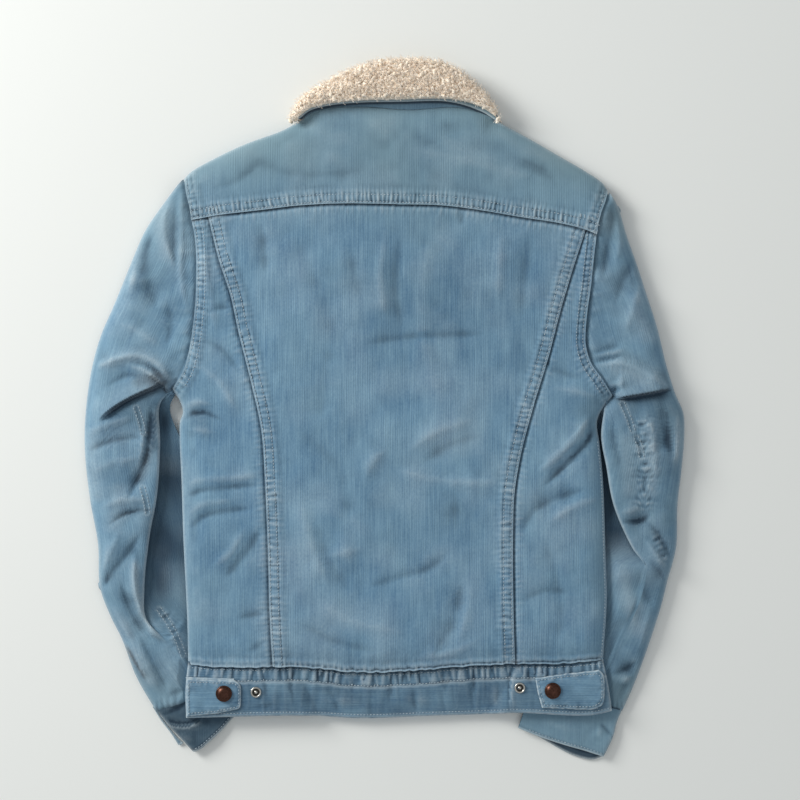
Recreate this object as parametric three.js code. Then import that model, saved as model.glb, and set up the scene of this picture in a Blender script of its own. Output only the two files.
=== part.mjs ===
// A sherpa lined corduroy jacket, buttoned and laid face down on a flat surface, seen from its back.
// Millimetres. X runs towards the wearer's right, Y towards the collar, Z up from the surface.
// The origin is under the middle of the jacket's box. Outlines were measured on the laid-out garment.
import * as THREE from "three";

// Driving sizes
const SEAM_GAP = 0.3;
const CHORD_INSET = 0.5; // drawn in at edges that are divided at other points than the neighbour's
const FRONT_WALL = 11; // corduroy and pile lining of the fronts, pressed flat
const BACK_WALL = 10.5; // the same layers of the back, lying on the fronts
const BACK_CROWN = 3.2; // how much the middle of the back stands above its edges
const SIDE_ROUND = 30; // width of the rounding along the sides and the shoulders
const THIN_EDGE = 1.3; // thinnest cloth at a rounded edge
const SLEEVE_FOLD_PLANE = 6.3; // where the upper arm lies on the folded forearm layers
const TUCKED_HEIGHT = 6.5; // sleeve and cuff where the body lies on them
const BODY_LIFT = 7; // underside of the body above a tucked sleeve
const LIFT_RAMP = 24;
const LIFT_MARGIN = 16; // how far the lifted cloth reaches past a tucked sleeve
const BAND_WALL = 4.2; // waistband: two layers of corduroy and interlining
const CUFF_WALL = 3;
const TAB_WALL = 2.4;
const BUTTON_DIAMETER = 17;
const BUTTON_HEIGHT = 5.2;
const RING_DIAMETER = 11.6;
const RING_HEIGHT = 2;
const FRONT_BUTTON_COUNT = 6;
const FRONT_BUTTON_PITCH = 88;
const FRONT_BUTTON_LOWEST_Y = -225;
const PLACKET_WIDTH = 42;
const CENTRE_X = 13; // centre line of the body
const COLLAR_PLANE = 17.5; // underside of the collar leaf
const COLLAR_LOFT = 13.5; // pile height of the leaf over that

const BACK_PLANE = FRONT_WALL + SEAM_GAP;

// Colours and finishes
const corduroy = () => new THREE.MeshStandardMaterial({ color: 0x7b9fbd, roughness: 0.9 });
const corduroyShade = () => new THREE.MeshStandardMaterial({ color: 0x6f93b0, roughness: 0.92 });
const sherpa = () => new THREE.MeshStandardMaterial({ color: 0xe3cfbb, roughness: 1 });
const copper = () => new THREE.MeshStandardMaterial({ color: 0x6b4030, roughness: 0.45, metalness: 0.8 });
const nickel = () => new THREE.MeshStandardMaterial({ color: 0xb9b6ae, roughness: 0.35, metalness: 0.9 });

// A table: each row of numbers gets the named columns.
const table = (columns, ...rows) =>
  rows.map((row) => Object.fromEntries(columns.split(" ").map((name, i) => [name, row[i]])));

// Seam lines and outlines, one row for each bend.
const yokeSeam = table("x y", [-200.7, 198], [-172, 203], [-130, 208], [-88, 213], [-47, 215], [16, 214],
  [57, 213], [99, 208], [140, 201], [182, 194.5], [208, 188], [219.4, 183]);
const shoulderLeft = table("x y", [-209, 242], [-201, 249.5], [-177, 263], [-145, 278], [-107, 292], [-86, 303.5]);
const shoulderRight = table("x y", [115, 302.5], [151, 283], [182, 265], [207, 250.5], [226, 237.5], [232, 229]);
const neckline = table("x y", [-86, 303.5], [-73, 311], [-57, 315], [-21, 316], [26, 313], [76, 315.5],
  [104, 308], [115, 302.5]);
const yokeEndLeft = table("x y", [-200.7, 198], [-202, 209], [-206, 225], [-209, 242]);
const yokeEndRight = table("x y", [219.4, 183], [221.5, 195], [225, 208], [228.5, 217], [232, 229]);
const armholeLeft = table("x y", [-221.5, 22.5], [-209, 42], [-203, 63], [-197.6, 99], [-195.5, 128],
  [-195.5, 160], [-197.6, 184], [-200.7, 198]);
const armholeRight = table("x y", [237, 15.5], [224, 35], [213, 51], [208, 69], [208, 84], [210, 106],
  [213.5, 131], [216.5, 159], [219.4, 183]);
const princessLeft = table("x y", [-116.5, -265], [-119.6, -207], [-121, -150], [-123.8, -82], [-128, -20],
  [-138, 27], [-151, 79], [-160, 120], [-172.6, 159], [-183, 201]);
const princessRight = table("x y", [134.7, -262.5], [133, -207], [132.5, -124], [134, -86], [140.5, -46],
  [154, 6], [168.5, 53], [182, 105], [194.5, 147], [208, 188]);
const sideLeft = table("x y", [-205, -263], [-206, -217], [-210, -134], [-212, -72], [-214, -26], [-213.5, -11],
  [-210.5, -1], [-214, 11], [-221.5, 22.5]);
const sideRight = table("x y", [227, -259], [231, -197], [229.8, -155], [227, -72], [223.6, -35], [221, -10],
  [229, 6], [237, 15.5]);
const waistSeamLeft = table("x y", [-205, -263], [-178, -265], [-150, -266], [-116.5, -265]);
const waistSeamCentre = table("x y", [-116.5, -265], [-88, -265.5], [-36, -270.5], [-5, -271], [57, -267.5],
  [99, -264], [134.7, -262.5]);
const waistSeamRight = table("x y", [134.7, -262.5], [172, -263], [200, -261.5], [227, -259]);
const hem = table("x y", [-207, -319.5], [-151, -318], [-88, -317], [-26, -320.5], [47, -318], [108, -316],
  [135, -314], [198, -317], [219, -316], [236, -312]);
const bandEndLeft = table("x y", [-207, -319.5], [-207.5, -290], [-205, -263]);
const bandEndRight = table("x y", [236, -312], [233, -290], [227, -259]);

// Sleeves: outer outlines from the shoulder down, and the inner edges of their layers.
const outerArmLeft = table("x y", [-209, 242], [-218, 230], [-234, 212], [-250.5, 187], [-267, 149], [-283, 110],
  [-296.5, 79], [-305, 45]);
const outerElbowLeft = table("x y", [-305, 45], [-311, 11], [-313, -30], [-308, -92], [-300, -129], [-298.5, -158],
  [-297, -184]);
const outerForearmLeft = table("x y", [-297, -184], [-292, -202], [-275, -237], [-267, -259], [-253, -290],
  [-244.5, -307]);
const foldEdgeLeft = table("x y", [-221.5, 22.5], [-243, 9], [-244.5, -20], [-236.5, -72], [-239, -101],
  [-246, -130], [-248, -150]);
const elbowCreaseLeft = table("x y", [-297, -184], [-285, -172], [-270, -158], [-259, -146], [-248, -150]);
const tuckedEdgeLeft = table("x y", [-221.5, 22.5], [-231, 20], [-230, 6], [-223, -15], [-211, -40], [-198, -72],
  [-189, -134], [-182, -197], [-148, -247]);
const cuffSeamLeft = table("x y", [-244.5, -307], [-234, -316], [-221, -311], [-207, -304], [-148, -247]);

const outerArmRight = table("x y", [232, 229], [243.5, 210], [253, 181], [265, 143.5], [275.5, 113], [285, 84],
  [291, 60], [295, 42]);
const outerElbowRight = table("x y", [295, 42], [303, 19], [311, 3], [312.5, -35], [307, -77], [305, -129],
  [300, -160], [294, -180]);
const outerForearmRight = table("x y", [294, -180], [286, -210], [278, -236], [265, -264], [257, -290], [247, -313]);
const foldEdgeRight = table("x y", [237, 15.5], [226.5, -8], [225, -27], [228, -46], [234, -82], [243, -108],
  [257, -139], [270.5, -163]);
const elbowCreaseRight = table("x y", [294, -180], [283, -174], [270.5, -163]);
const tuckedEdgeRight = table("x y", [237, 15.5], [224, -12], [219, -36], [206, -92], [185, -150], [166, -210],
  [155, -283]);
const cuffSeamRight = table("x y", [247, -313], [230, -309], [200, -298], [155, -283]);

// Cuffs: the mouth runs from the outer to the inner corner.
const cuffSideOuterLeft = table("x y", [-236, -315.5], [-224, -330], [-210, -345], [-200, -356]);
const cuffSideInnerLeft = table("x y", [-148, -247], [-130, -265], [-112, -283]);
const cuffMouthLeft = table("x y", [-200, -356], [-192.5, -353], [-184, -346], [-170, -333], [-158, -320],
  [-112, -283]);
const cuffTopLeft = table("x y", [-236, -315.5], [-221, -311], [-207, -304], [-148, -247]);
const flapOuter = table("x y", [-243, -309.5], [-234, -324], [-224, -337], [-216, -349.5]);
const flapInner = table("x y", [-237.5, -315.5], [-229, -327], [-220, -338], [-212, -346]);
const cuffSideOuterRight = table("x y", [247, -313], [242, -325], [238, -340], [228, -361]);
const cuffSideInnerRight = table("x y", [155, -283], [148, -305], [139, -331]);
const cuffMouthUpperRight = table("x y", [228, -361], [208, -354.5], [187, -348.5], [161, -340], [139, -331]);
const cuffMouthUnderRight = table("x y", [228, -361], [216.5, -364.5], [198, -360.5], [182, -353], [161, -341],
  [139, -331]);

// Collar: the pile leaf folded over the stand.
const leafLower = table("x y", [-88.5, 305], [-78, 313], [-57, 318.5], [-26, 321.5], [16, 322.5], [57, 323.5],
  [78, 321.5], [99, 315], [114.5, 305]);
const leafOuter = table("x y", [-99, 303], [-93.5, 315], [-83, 328.5], [-67, 338], [-52, 346.5], [-36, 354],
  [-15.5, 361], [5, 364], [24, 365], [42, 364.5], [57, 362], [73, 356], [83, 348.5], [94, 339], [104, 328.5],
  [112, 318], [119, 303]);

// Waist tabs: lower edge, upper edge and both ends, from left to right.
const tabLeftLower = table("x y", [-206, -313], [-177, -311.5], [-156, -308]);
const tabLeftUpper = table("x y", [-206, -278], [-177, -279], [-155, -279.5]);
const tabLeftStart = table("x y", [-206, -313], [-206, -278]);
const tabLeftEnd = table("x y", [-156, -308], [-150.5, -301], [-149, -293], [-150.5, -284], [-155, -279.5]);
const tabRightLower = table("x y", [163, -308], [182, -309], [213, -310], [220, -308.5]);
const tabRightUpper = table("x y", [156, -277], [187, -272.5], [222, -268.5]);
const tabRightStart = table("x y", [163, -308], [158.5, -292], [156, -277]);
const tabRightEnd = table("x y", [220, -308.5], [227, -300], [228.5, -288], [222, -268.5]);
const tabButtons = table("x y", [-167, -293], [174, -290]);
const tabRings = table("x y", [-134, -292], [140, -287.5]);

// Height of each sleeve's upper surface down the arm.
const sleeveHeight = table("y height", [245, 13], [190, 18.5], [60, 20], [-60, 18], [-170, 15.5], [-240, 13],
  [-300, 9], [-370, 8]);

// The largest folds: a soft ridge or trough from start to end, with its half width and its height.
const backFolds = table("x0 y0 x1 y1 width height",
  [-128, 193, -123, 140, 10, -1.8],
  [-16, 71, 99, 80, 10, -1.6],
  [18, -61, 116, -72, 11, 1.8],
  [-21, -77, 4, -45, 11, 1.9],
  [-12, -181, 62, -148, 11, -1.8],
  [72, -90, 74, -124, 12, -1.7],
  [80, -181, 52, -254, 13, -2.2],
  [-57, -150, -26, -142, 14, 1.8],
  [150, 183, 140, 95, 14, -1.6],
  [221, -5, 168, -67, 10, -4],
  [222, -40, 190, -72, 16, 2.2],
  [206, -81, 143, -124, 12, -2.2],
  [-208, -85, -128, -67, 10, 1.8],
  [-200, -120, -150, -98, 11, -1.7],
  [-128, -122, -163, -171, 12, -2.2],
  [-151, -214, -125, -209, 9, -1.4],
  [-208, -9, -180, -11, 9, -2],
  [-190, 172, -176, 100, 9, 1.5],
  [60, 20, 20, -20, 22, 1.2],
  [-90, 150, -80, -30, 26, 1]);
const sleeveFolds = table("x0 y0 x1 y1 width height",
  [-211, 225, -206, 110, 7, 1.8],
  [-215, 220, -214, 140, 6, -1.8],
  [-244, 183, -238, 105, 14, -2.4],
  [-262, 155, -262, 125, 9, 1.8],
  [-300, 44, -224, 40, 11, 2.8],
  [-298, -9, -238, 27, 9, -5],
  [-306, -38, -258, -26, 9, -2.4],
  [-281, -113, -248, -104, 8, -2.2],
  [-262, -130, -268, -190, 13, -1.5],
  [-254, -128, -257, -200, 8, 3],
  [-257, -200, -232, -234, 7, 2.6],
  [-240, -260, -226, -285, 11, -1.8],
  [-270, -241, -252, -266, 9, 1.6],
  [220, 50, 292, 32, 11, 3],
  [238, 14, 294, 22, 8, -3.6],
  [236, 219, 226, 142, 7, -2],
  [255, 155, 239, 115, 11, -2.2],
  [224, 64, 246, 70, 8, 1.6],
  [285, 5, 299, -40, 12, -2],
  [249, -114, 272, -110, 7, -1.8],
  [281, -150, 293, -176, 8, 2],
  [243, -272, 262, -264, 8, -1.6],
  [262, -175, 272, -200, 9, -2]);

// Smooth line through the rows, cut into equal steps.
function divided(rows, steps) {
  const spline = new THREE.CatmullRomCurve3(rows.map((p) => new THREE.Vector3(p.x, p.y, 0)), false, "centripetal");
  spline.arcLengthDivisions = 400;
  return spline.getSpacedPoints(steps).map((p) => ({ x: p.x, y: p.y }));
}

// The same line with closer steps at a rounded end; near lists distances from the start, far from the end.
function steppedIn(rows, steps, near = [], far = []) {
  const spline = new THREE.CatmullRomCurve3(rows.map((p) => new THREE.Vector3(p.x, p.y, 0)), false, "centripetal");
  const length = spline.getLength();
  const first = near.length ? near[near.length - 1] : 0;
  const last = length - (far.length ? far[far.length - 1] : 0);
  const even = [];
  for (let i = 1; i < steps; i++) even.push(first + ((last - first) * i) / steps);
  const marks = [0, ...near, ...even, ...far.map((d) => length - d), length].sort((a, b) => a - b);
  return marks.map((d) => spline.getPointAt(d / length)).map((p) => ({ x: p.x, y: p.y }));
}

// Lines laid end to end.
const chain = (...lines) => lines.flatMap((line, i) => (i === 0 ? line : line.slice(1)));
const reversed = (line) => [...line].reverse();

// Share of the whole length at each point of a line.
function shares(line) {
  const run = [0];
  for (let i = 1; i < line.length; i++) {
    run.push(run[i - 1] + Math.hypot(line[i].x - line[i - 1].x, line[i].y - line[i - 1].y));
  }
  return run.map((d) => d / run[run.length - 1]);
}

// Shortest way from a point to a line.
function distanceTo(line, x, y) {
  let best = Infinity;
  for (let i = 1; i < line.length; i++) {
    const a = line[i - 1];
    const dx = line[i].x - a.x;
    const dy = line[i].y - a.y;
    const squared = dx * dx + dy * dy || 1;
    const along = THREE.MathUtils.clamp(((x - a.x) * dx + (y - a.y) * dy) / squared, 0, 1);
    best = Math.min(best, Math.hypot(x - a.x - along * dx, y - a.y - along * dy));
  }
  return best;
}

const nearest = (lines, x, y) => Math.min(...lines.map((line) => distanceTo(line, x, y)));

// Quarter round: 0 at the edge, 1 from the full width on.
function rounded(share) {
  const s = THREE.MathUtils.clamp(share, 0, 1);
  return Math.sqrt(1 - (1 - s) * (1 - s));
}

const dip = (distance, width) => Math.exp(-((distance / width) ** 2));
const ramp = (value) => THREE.MathUtils.smoothstep(value, 0, 1);

// A value read from a table by one column, with straight steps between its rows.
function lookUp(rows, key, column, at) {
  const rising = rows[0][key] < rows[rows.length - 1][key] ? rows : reversed(rows);
  const end = rising.findIndex((row) => row[key] >= at);
  if (end === 0) return rising[0][column];
  if (end < 0) return rising[rising.length - 1][column];
  const a = rising[end - 1];
  const b = rising[end];
  return a[column] + ((b[column] - a[column]) * (at - a[key])) / (b[key] - a[key]);
}

// Sum of the folds at a point; each fades out towards its two ends.
function foldsAt(folds, x, y) {
  let sum = 0;
  for (const fold of folds) {
    const dx = fold.x1 - fold.x0;
    const dy = fold.y1 - fold.y0;
    const length = Math.hypot(dx, dy);
    const along = ((x - fold.x0) * dx + (y - fold.y0) * dy) / length;
    const beyond = Math.max(0, -along, along - length);
    const across = ((y - fold.y0) * dx - (x - fold.x0) * dy) / length;
    sum += fold.height * dip(across, fold.width) * dip(beyond, fold.width);
  }
  return sum;
}

// Surface between four lines. left and right run up from lower to upper; lower and upper run left to right.
// Every edge is drawn in by inset, which is half the seam gap if it isn't given.
function patch({ left, right, lower, upper, inset = SEAM_GAP / 2 }) {
  const up = shares(left).map((s, j) => (s + shares(right)[j]) / 2);
  const over = shares(lower).map((s, i) => (s + shares(upper)[i]) / 2);
  const mix = (a, b, t) => a + (b - a) * t;
  const blend = (axis, i, j) => {
    const u = over[i];
    const v = up[j];
    const corners = mix(mix(lower[0][axis], lower.at(-1)[axis], u), mix(upper[0][axis], upper.at(-1)[axis], u), v);
    return mix(left[j][axis], right[j][axis], u) + mix(lower[i][axis], upper[i][axis], v) - corners;
  };
  const grid = up.map((_, j) => over.map((__, i) => new THREE.Vector2(blend("x", i, j), blend("y", i, j))));
  return drawnIn(grid, inset);
}

// Moves the outer points of a grid inwards along the edge's own normal.
function drawnIn(grid, inset) {
  const rows = grid.length;
  const columns = grid[0].length;
  const outer = [];
  for (let i = 0; i < columns; i++) outer.push([0, i]);
  for (let j = 1; j < rows; j++) outer.push([j, columns - 1]);
  for (let i = columns - 2; i >= 0; i--) outer.push([rows - 1, i]);
  for (let j = rows - 2; j > 0; j--) outer.push([j, 0]);
  const points = outer.map(([j, i]) => grid[j][i].clone());
  const count = points.length;
  outer.forEach(([j, i], k) => {
    const before = points[k].clone().sub(points[(k + count - 1) % count]).normalize();
    const after = points[(k + 1) % count].clone().sub(points[k]).normalize();
    const normal = new THREE.Vector2(-before.y - after.y, before.x + after.x).normalize();
    const lean = Math.max(0.5, normal.x * -after.y + normal.y * after.x);
    grid[j][i] = points[k].addScaledVector(normal, inset / lean);
  });
  return grid;
}

// Closed wall of cloth over a grid, from its underside to its top.
function wall(grid, top, underside) {
  const rows = grid.length;
  const columns = grid[0].length;
  const positions = [];
  const index = [];
  const layer = rows * columns;
  for (const heightAt of [top, underside]) {
    for (const line of grid) for (const p of line) positions.push(p.x, p.y, heightAt(p.x, p.y));
  }
  const at = (j, i) => j * columns + i;
  for (let j = 0; j + 1 < rows; j++) {
    for (let i = 0; i + 1 < columns; i++) {
      const [a, b, c, d] = [at(j, i), at(j, i + 1), at(j + 1, i + 1), at(j + 1, i)];
      index.push(a, b, c, a, c, d);
      index.push(layer + a, layer + c, layer + b, layer + a, layer + d, layer + c);
    }
  }
  const side = (a, b) => index.push(a, layer + a, layer + b, a, layer + b, b);
  for (let i = 0; i + 1 < columns; i++) {
    side(at(0, i), at(0, i + 1));
    side(at(rows - 1, i + 1), at(rows - 1, i));
  }
  for (let j = 0; j + 1 < rows; j++) {
    side(at(j + 1, 0), at(j, 0));
    side(at(j, columns - 1), at(j + 1, columns - 1));
  }
  const geometry = new THREE.BufferGeometry();
  geometry.setAttribute("position", new THREE.Float32BufferAttribute(positions, 3));
  geometry.setIndex(index);
  geometry.computeVertexNormals();
  return geometry;
}

const jacket = new THREE.Group();
function add(name, geometry, material, x = 0, y = 0, z = 0) {
  const mesh = new THREE.Mesh(geometry, material);
  mesh.name = name;
  mesh.position.set(x, y, z);
  jacket.add(mesh);
}

// Steps that neighbouring pieces share, so that their edges run side by side.
const SIDE_STEPS = 17;
const ARM_STEPS = 11;
const YOKE_END_STEPS = 3;
const CENTRE_STEPS = 16;
const FOREARM_STEPS = 7;
const roundSteps = [3, 9, 18];
const lines = {
  sideLeft: divided(sideLeft, SIDE_STEPS),
  sideRight: divided(sideRight, SIDE_STEPS),
  armholeLeft: divided(armholeLeft, ARM_STEPS),
  armholeRight: divided(armholeRight, ARM_STEPS),
  yokeEndLeft: divided(yokeEndLeft, YOKE_END_STEPS),
  yokeEndRight: divided(yokeEndRight, YOKE_END_STEPS),
  princessLeft: divided(princessLeft, SIDE_STEPS + ARM_STEPS),
  princessRight: divided(princessRight, SIDE_STEPS + ARM_STEPS),
  shoulderLeft: divided(shoulderLeft, 8),
  shoulderRight: divided(shoulderRight, 8),
  neckline: divided(neckline, 12),
  waistLeft: steppedIn(waistSeamLeft, 4, roundSteps),
  waistCentre: divided(waistSeamCentre, CENTRE_STEPS),
  waistRight: steppedIn(waistSeamRight, 4, [], roundSteps),
};

// The yoke seam is cut where the two long seams meet it.
const yokeSeamFine = divided(yokeSeam, 200);
function partOfYokeSeam(fromX, toX, steps, near = [], far = []) {
  const part = yokeSeamFine.filter((p) => p.x > fromX + 1 && p.x < toX - 1);
  const ends = [fromX, toX].map((x) => ({ x, y: lookUp(yokeSeamFine, "x", "y", x) }));
  return steppedIn([ends[0], ...part.filter((_, i) => i % 8 === 4), ends[1]], steps, near, far);
}
const seamTopLeft = princessLeft.at(-1);
const seamTopRight = princessRight.at(-1);
const sidePanelTopSteps = lines.waistLeft.length - 1;
lines.yokeLeft = partOfYokeSeam(yokeSeam[0].x, seamTopLeft.x, sidePanelTopSteps);
lines.yokeCentre = partOfYokeSeam(seamTopLeft.x, seamTopRight.x, CENTRE_STEPS);
lines.yokeRight = partOfYokeSeam(seamTopRight.x, yokeSeam.at(-1).x, lines.waistRight.length - 1);
lines.princessLeft[lines.princessLeft.length - 1] = lines.yokeCentre[0];
lines.princessRight[lines.princessRight.length - 1] = lines.yokeCentre.at(-1);
lines.yokeLeft[lines.yokeLeft.length - 1] = lines.yokeCentre[0];
lines.yokeRight[0] = lines.yokeCentre.at(-1);

// How far the body stands over the tucked sleeves.
const tuckedLeft = divided([...tuckedEdgeLeft.slice(4), ...cuffSideInnerLeft.slice(1)], 40);
const tuckedRight = divided([...tuckedEdgeRight.slice(1), ...cuffSideInnerRight.slice(1)], 40);
function bodyLift(x, y) {
  const line = x < CENTRE_X ? tuckedLeft : tuckedRight;
  const edgeX = lookUp(line, "y", "x", y);
  const sleeveSide = x < CENTRE_X ? x < edgeX : x > edgeX;
  const inside = sleeveSide ? LIFT_RAMP : -distanceTo(line, x, y);
  const upward = ramp(1 - Math.max(0, y - line[0].y - LIFT_MARGIN) / LIFT_RAMP);
  return BODY_LIFT * ramp((inside + LIFT_RAMP + LIFT_MARGIN) / LIFT_RAMP) * upward;
}

// Upper surface of the back.
const freeEdges = [lines.sideLeft, lines.sideRight, lines.shoulderLeft, lines.shoulderRight];
const softSeams = [lines.yokeCentre, lines.princessLeft, lines.princessRight, lines.yokeLeft, lines.yokeRight];
const waistLine = chain(lines.waistLeft, lines.waistCentre, lines.waistRight);
function backTop(x, y) {
  const edge = nearest(freeEdges, x, y);
  const armhole = nearest([lines.armholeLeft, lines.armholeRight, lines.yokeEndLeft, lines.yokeEndRight], x, y);
  const crown = BACK_CROWN * ramp(edge / 140);
  const waist = 1 - 0.45 * dip(distanceTo(waistLine, x, y), 15);
  const neck = 1 - 0.4 * dip(distanceTo(lines.neckline, x, y), 12);
  const full = (BACK_WALL - THIN_EDGE + crown) * rounded(edge / SIDE_ROUND) * waist * neck;
  const folds = foldsAt(backFolds, x, y) * ramp(edge / 10);
  const seams = 1.1 * dip(nearest(softSeams, x, y), 6) + 1.6 * dip(armhole, 9);
  return BACK_PLANE + Math.max(THIN_EDGE, THIN_EDGE + full + folds - seams * ramp(edge / 12));
}
const backUnderside = () => BACK_PLANE;

// Back: yoke, centre panel and two side panels.
const yokeLower = chain(lines.yokeLeft, lines.yokeCentre, lines.yokeRight);
function yokeUpperEdge(count) {
  const whole = [...shoulderLeft, ...neckline.slice(1), ...shoulderRight.slice(1)];
  const fine = divided(whole, 300);
  const lowerShares = shares(yokeLower);
  const fineShares = shares(fine);
  const at = (s) => fine[fineShares.findIndex((f) => f >= s - 1e-9)];
  return lowerShares.slice(0, count).map(at);
}
const yokeUpper = yokeUpperEdge(yokeLower.length);
const YOKE_ROWS = 6;
function yokeSide(endRows, corner, tip) {
  const line = steppedIn(endRows, YOKE_ROWS - 2, [], [3, 9, 18]);
  line[0] = corner;
  line[line.length - 1] = tip;
  return line;
}
const yokeSideLeft = yokeSide(yokeEndLeft, yokeLower[0], yokeUpper[0]);
const yokeSideRight = yokeSide(yokeEndRight, yokeLower.at(-1), yokeUpper.at(-1));
const yokeGrid = patch({ left: yokeSideLeft, right: yokeSideRight, lower: yokeLower, upper: yokeUpper });
add("back_yoke", wall(yokeGrid, backTop, backUnderside), corduroy());

const centreGrid = patch({
  left: lines.princessLeft,
  right: lines.princessRight,
  lower: lines.waistCentre,
  upper: lines.yokeCentre,
});
add("back_centre", wall(centreGrid, backTop, backUnderside), corduroy());

const sideGridLeft = patch({
  left: chain(lines.sideLeft, lines.armholeLeft),
  right: lines.princessLeft,
  lower: lines.waistLeft,
  upper: lines.yokeLeft,
});
add("back_side_left", wall(sideGridLeft, backTop, backUnderside), corduroyShade());
const sideGridRight = patch({
  left: lines.princessRight,
  right: chain(lines.sideRight, lines.armholeRight),
  lower: lines.waistRight,
  upper: lines.yokeRight,
});
add("back_side_right", wall(sideGridRight, backTop, backUnderside), corduroyShade());

// Fronts, under the back: plain, with their underside flat on the surface and rounded up at the sides.
const FRONT_EDGE_HEIGHT = 7;
const FRONT_EDGE_ROUND = 14;
const FRONT_STEPS = 3;
const FRONT_INSET = 0.45;
const FRONT_SIDE_STEPS = [4, 12, 26, 42, 60, 80, 100];
const placketLeftX = CENTRE_X - PLACKET_WIDTH / 2;
const placketRightX = CENTRE_X + PLACKET_WIDTH / 2;
function frontUnderside(x, y) {
  const edge = nearest(freeEdges, x, y);
  return Math.max(bodyLift(x, y), FRONT_EDGE_HEIGHT * (1 - rounded(edge / FRONT_EDGE_ROUND)));
}
const frontTop = () => FRONT_WALL;
function acrossFront(line, fromX, toX) {
  const inner = line.filter((p) => p.x > fromX && p.x < toX);
  const ends = [fromX, toX].map((x) => ({ x, y: lookUp(line, "x", "y", x) }));
  return [ends[0], ...inner, ends[1]];
}
const upperEdgeFine = divided([...shoulderLeft, ...neckline.slice(1), ...shoulderRight.slice(1)], 200);
const waistFine = divided([...waistSeamLeft, ...waistSeamCentre.slice(1), ...waistSeamRight.slice(1)], 200);
const straight = (a, b) => [a, { x: (a.x + b.x) / 2, y: (a.y + b.y) / 2 }, b];
function front(name, fromX, toX, outerLine, near, far) {
  const lower = steppedIn(acrossFront(waistFine, fromX, toX), FRONT_STEPS, near, far);
  const upper = steppedIn(acrossFront(upperEdgeFine, fromX, toX), FRONT_STEPS, near, far);
  const inner = divided(near.length ? straight(lower.at(-1), upper.at(-1)) : straight(lower[0], upper[0]),
    outerLine.length - 1);
  const grid = near.length
    ? patch({ left: outerLine, right: inner, lower, upper, inset: FRONT_INSET })
    : patch({ left: inner, right: outerLine, lower, upper, inset: FRONT_INSET });
  add(name, wall(grid, frontTop, frontUnderside), corduroyShade());
}
const outerLeft = chain(lines.sideLeft, lines.armholeLeft, lines.yokeEndLeft);
const outerRight = chain(lines.sideRight, lines.armholeRight, lines.yokeEndRight);
front("front_left", outerLeft[0].x, placketLeftX, outerLeft, FRONT_SIDE_STEPS, []);
front("front_right", placketRightX, outerRight[0].x, outerRight, [], FRONT_SIDE_STEPS);

// Front closing strip with its shank buttons under it.
const FRONT_BUTTON_CLEAR = 0.25; // above the surface
const FRONT_BUTTON_HEIGHT = 2;
const PLACKET_UNDERSIDE = FRONT_BUTTON_CLEAR + FRONT_BUTTON_HEIGHT + SEAM_GAP;
const placketLower = divided(acrossFront(waistFine, placketLeftX, placketRightX), 2);
const placketUpper = divided(acrossFront(upperEdgeFine, placketLeftX, placketRightX), 2);
const placketGrid = patch({
  left: divided(straight(placketLower[0], placketUpper[0]), 2),
  right: divided(straight(placketLower.at(-1), placketUpper.at(-1)), 2),
  lower: placketLower,
  upper: placketUpper,
});
add("front_placket", wall(placketGrid, frontTop, () => PLACKET_UNDERSIDE), corduroy());

// Turned profile closed on its axis, flat underneath.
const turned = (profile, sides) =>
  new THREE.LatheGeometry(profile.map((p) => new THREE.Vector2(p.r, p.z)), sides).rotateX(Math.PI / 2);
function capProfile(diameter, height) {
  const r = diameter / 2;
  return table("r z", [0, 0], [r * 0.86, 0], [r, height * 0.2], [r * 0.97, height * 0.5], [r * 0.8, height * 0.72],
    [r * 0.45, height * 0.94], [0, height]);
}
const flatButtonProfile = table("r z", [0, 0], [BUTTON_DIAMETER * 0.42, 0], [BUTTON_DIAMETER * 0.5, 0.8],
  [BUTTON_DIAMETER * 0.5, 1.4], [BUTTON_DIAMETER * 0.4, FRONT_BUTTON_HEIGHT], [0, FRONT_BUTTON_HEIGHT]);
for (let k = 0; k < FRONT_BUTTON_COUNT; k++) {
  const y = FRONT_BUTTON_LOWEST_Y + k * FRONT_BUTTON_PITCH;
  add("front_button_" + (k + 1), turned(flatButtonProfile, 10), copper(), CENTRE_X, y, FRONT_BUTTON_CLEAR);
}

// Sleeves. The folded layers of the forearm share one rounded solid, and the upper arm lies on them.
const SLEEVE_EDGE_HEIGHT = 3;
const SLEEVE_EDGE_ROUND = 11;
const SLEEVE_ROUND = 26;
const ACROSS_SLEEVE = 5;
function sleeveSide(side) {
  const left = side === "left";
  return {
    left,
    outer: chain(
      divided(left ? outerArmLeft : outerArmRight, ARM_STEPS + YOKE_END_STEPS),
      divided(left ? outerElbowLeft : outerElbowRight, FOREARM_STEPS + 4),
      divided(left ? outerForearmLeft : outerForearmRight, FOREARM_STEPS),
    ),
    armhole: left
      ? reversed(chain(lines.armholeLeft, lines.yokeEndLeft))
      : reversed(chain(lines.armholeRight, lines.yokeEndRight)),
    fold: divided(left ? foldEdgeLeft : foldEdgeRight, FOREARM_STEPS + 4),
    crease: left ? elbowCreaseLeft : elbowCreaseRight,
    tucked: divided(left ? tuckedEdgeLeft : tuckedEdgeRight, 2 * FOREARM_STEPS + 4),
    cuffSeam: left ? cuffSeamLeft : cuffSeamRight,
  };
}

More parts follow.
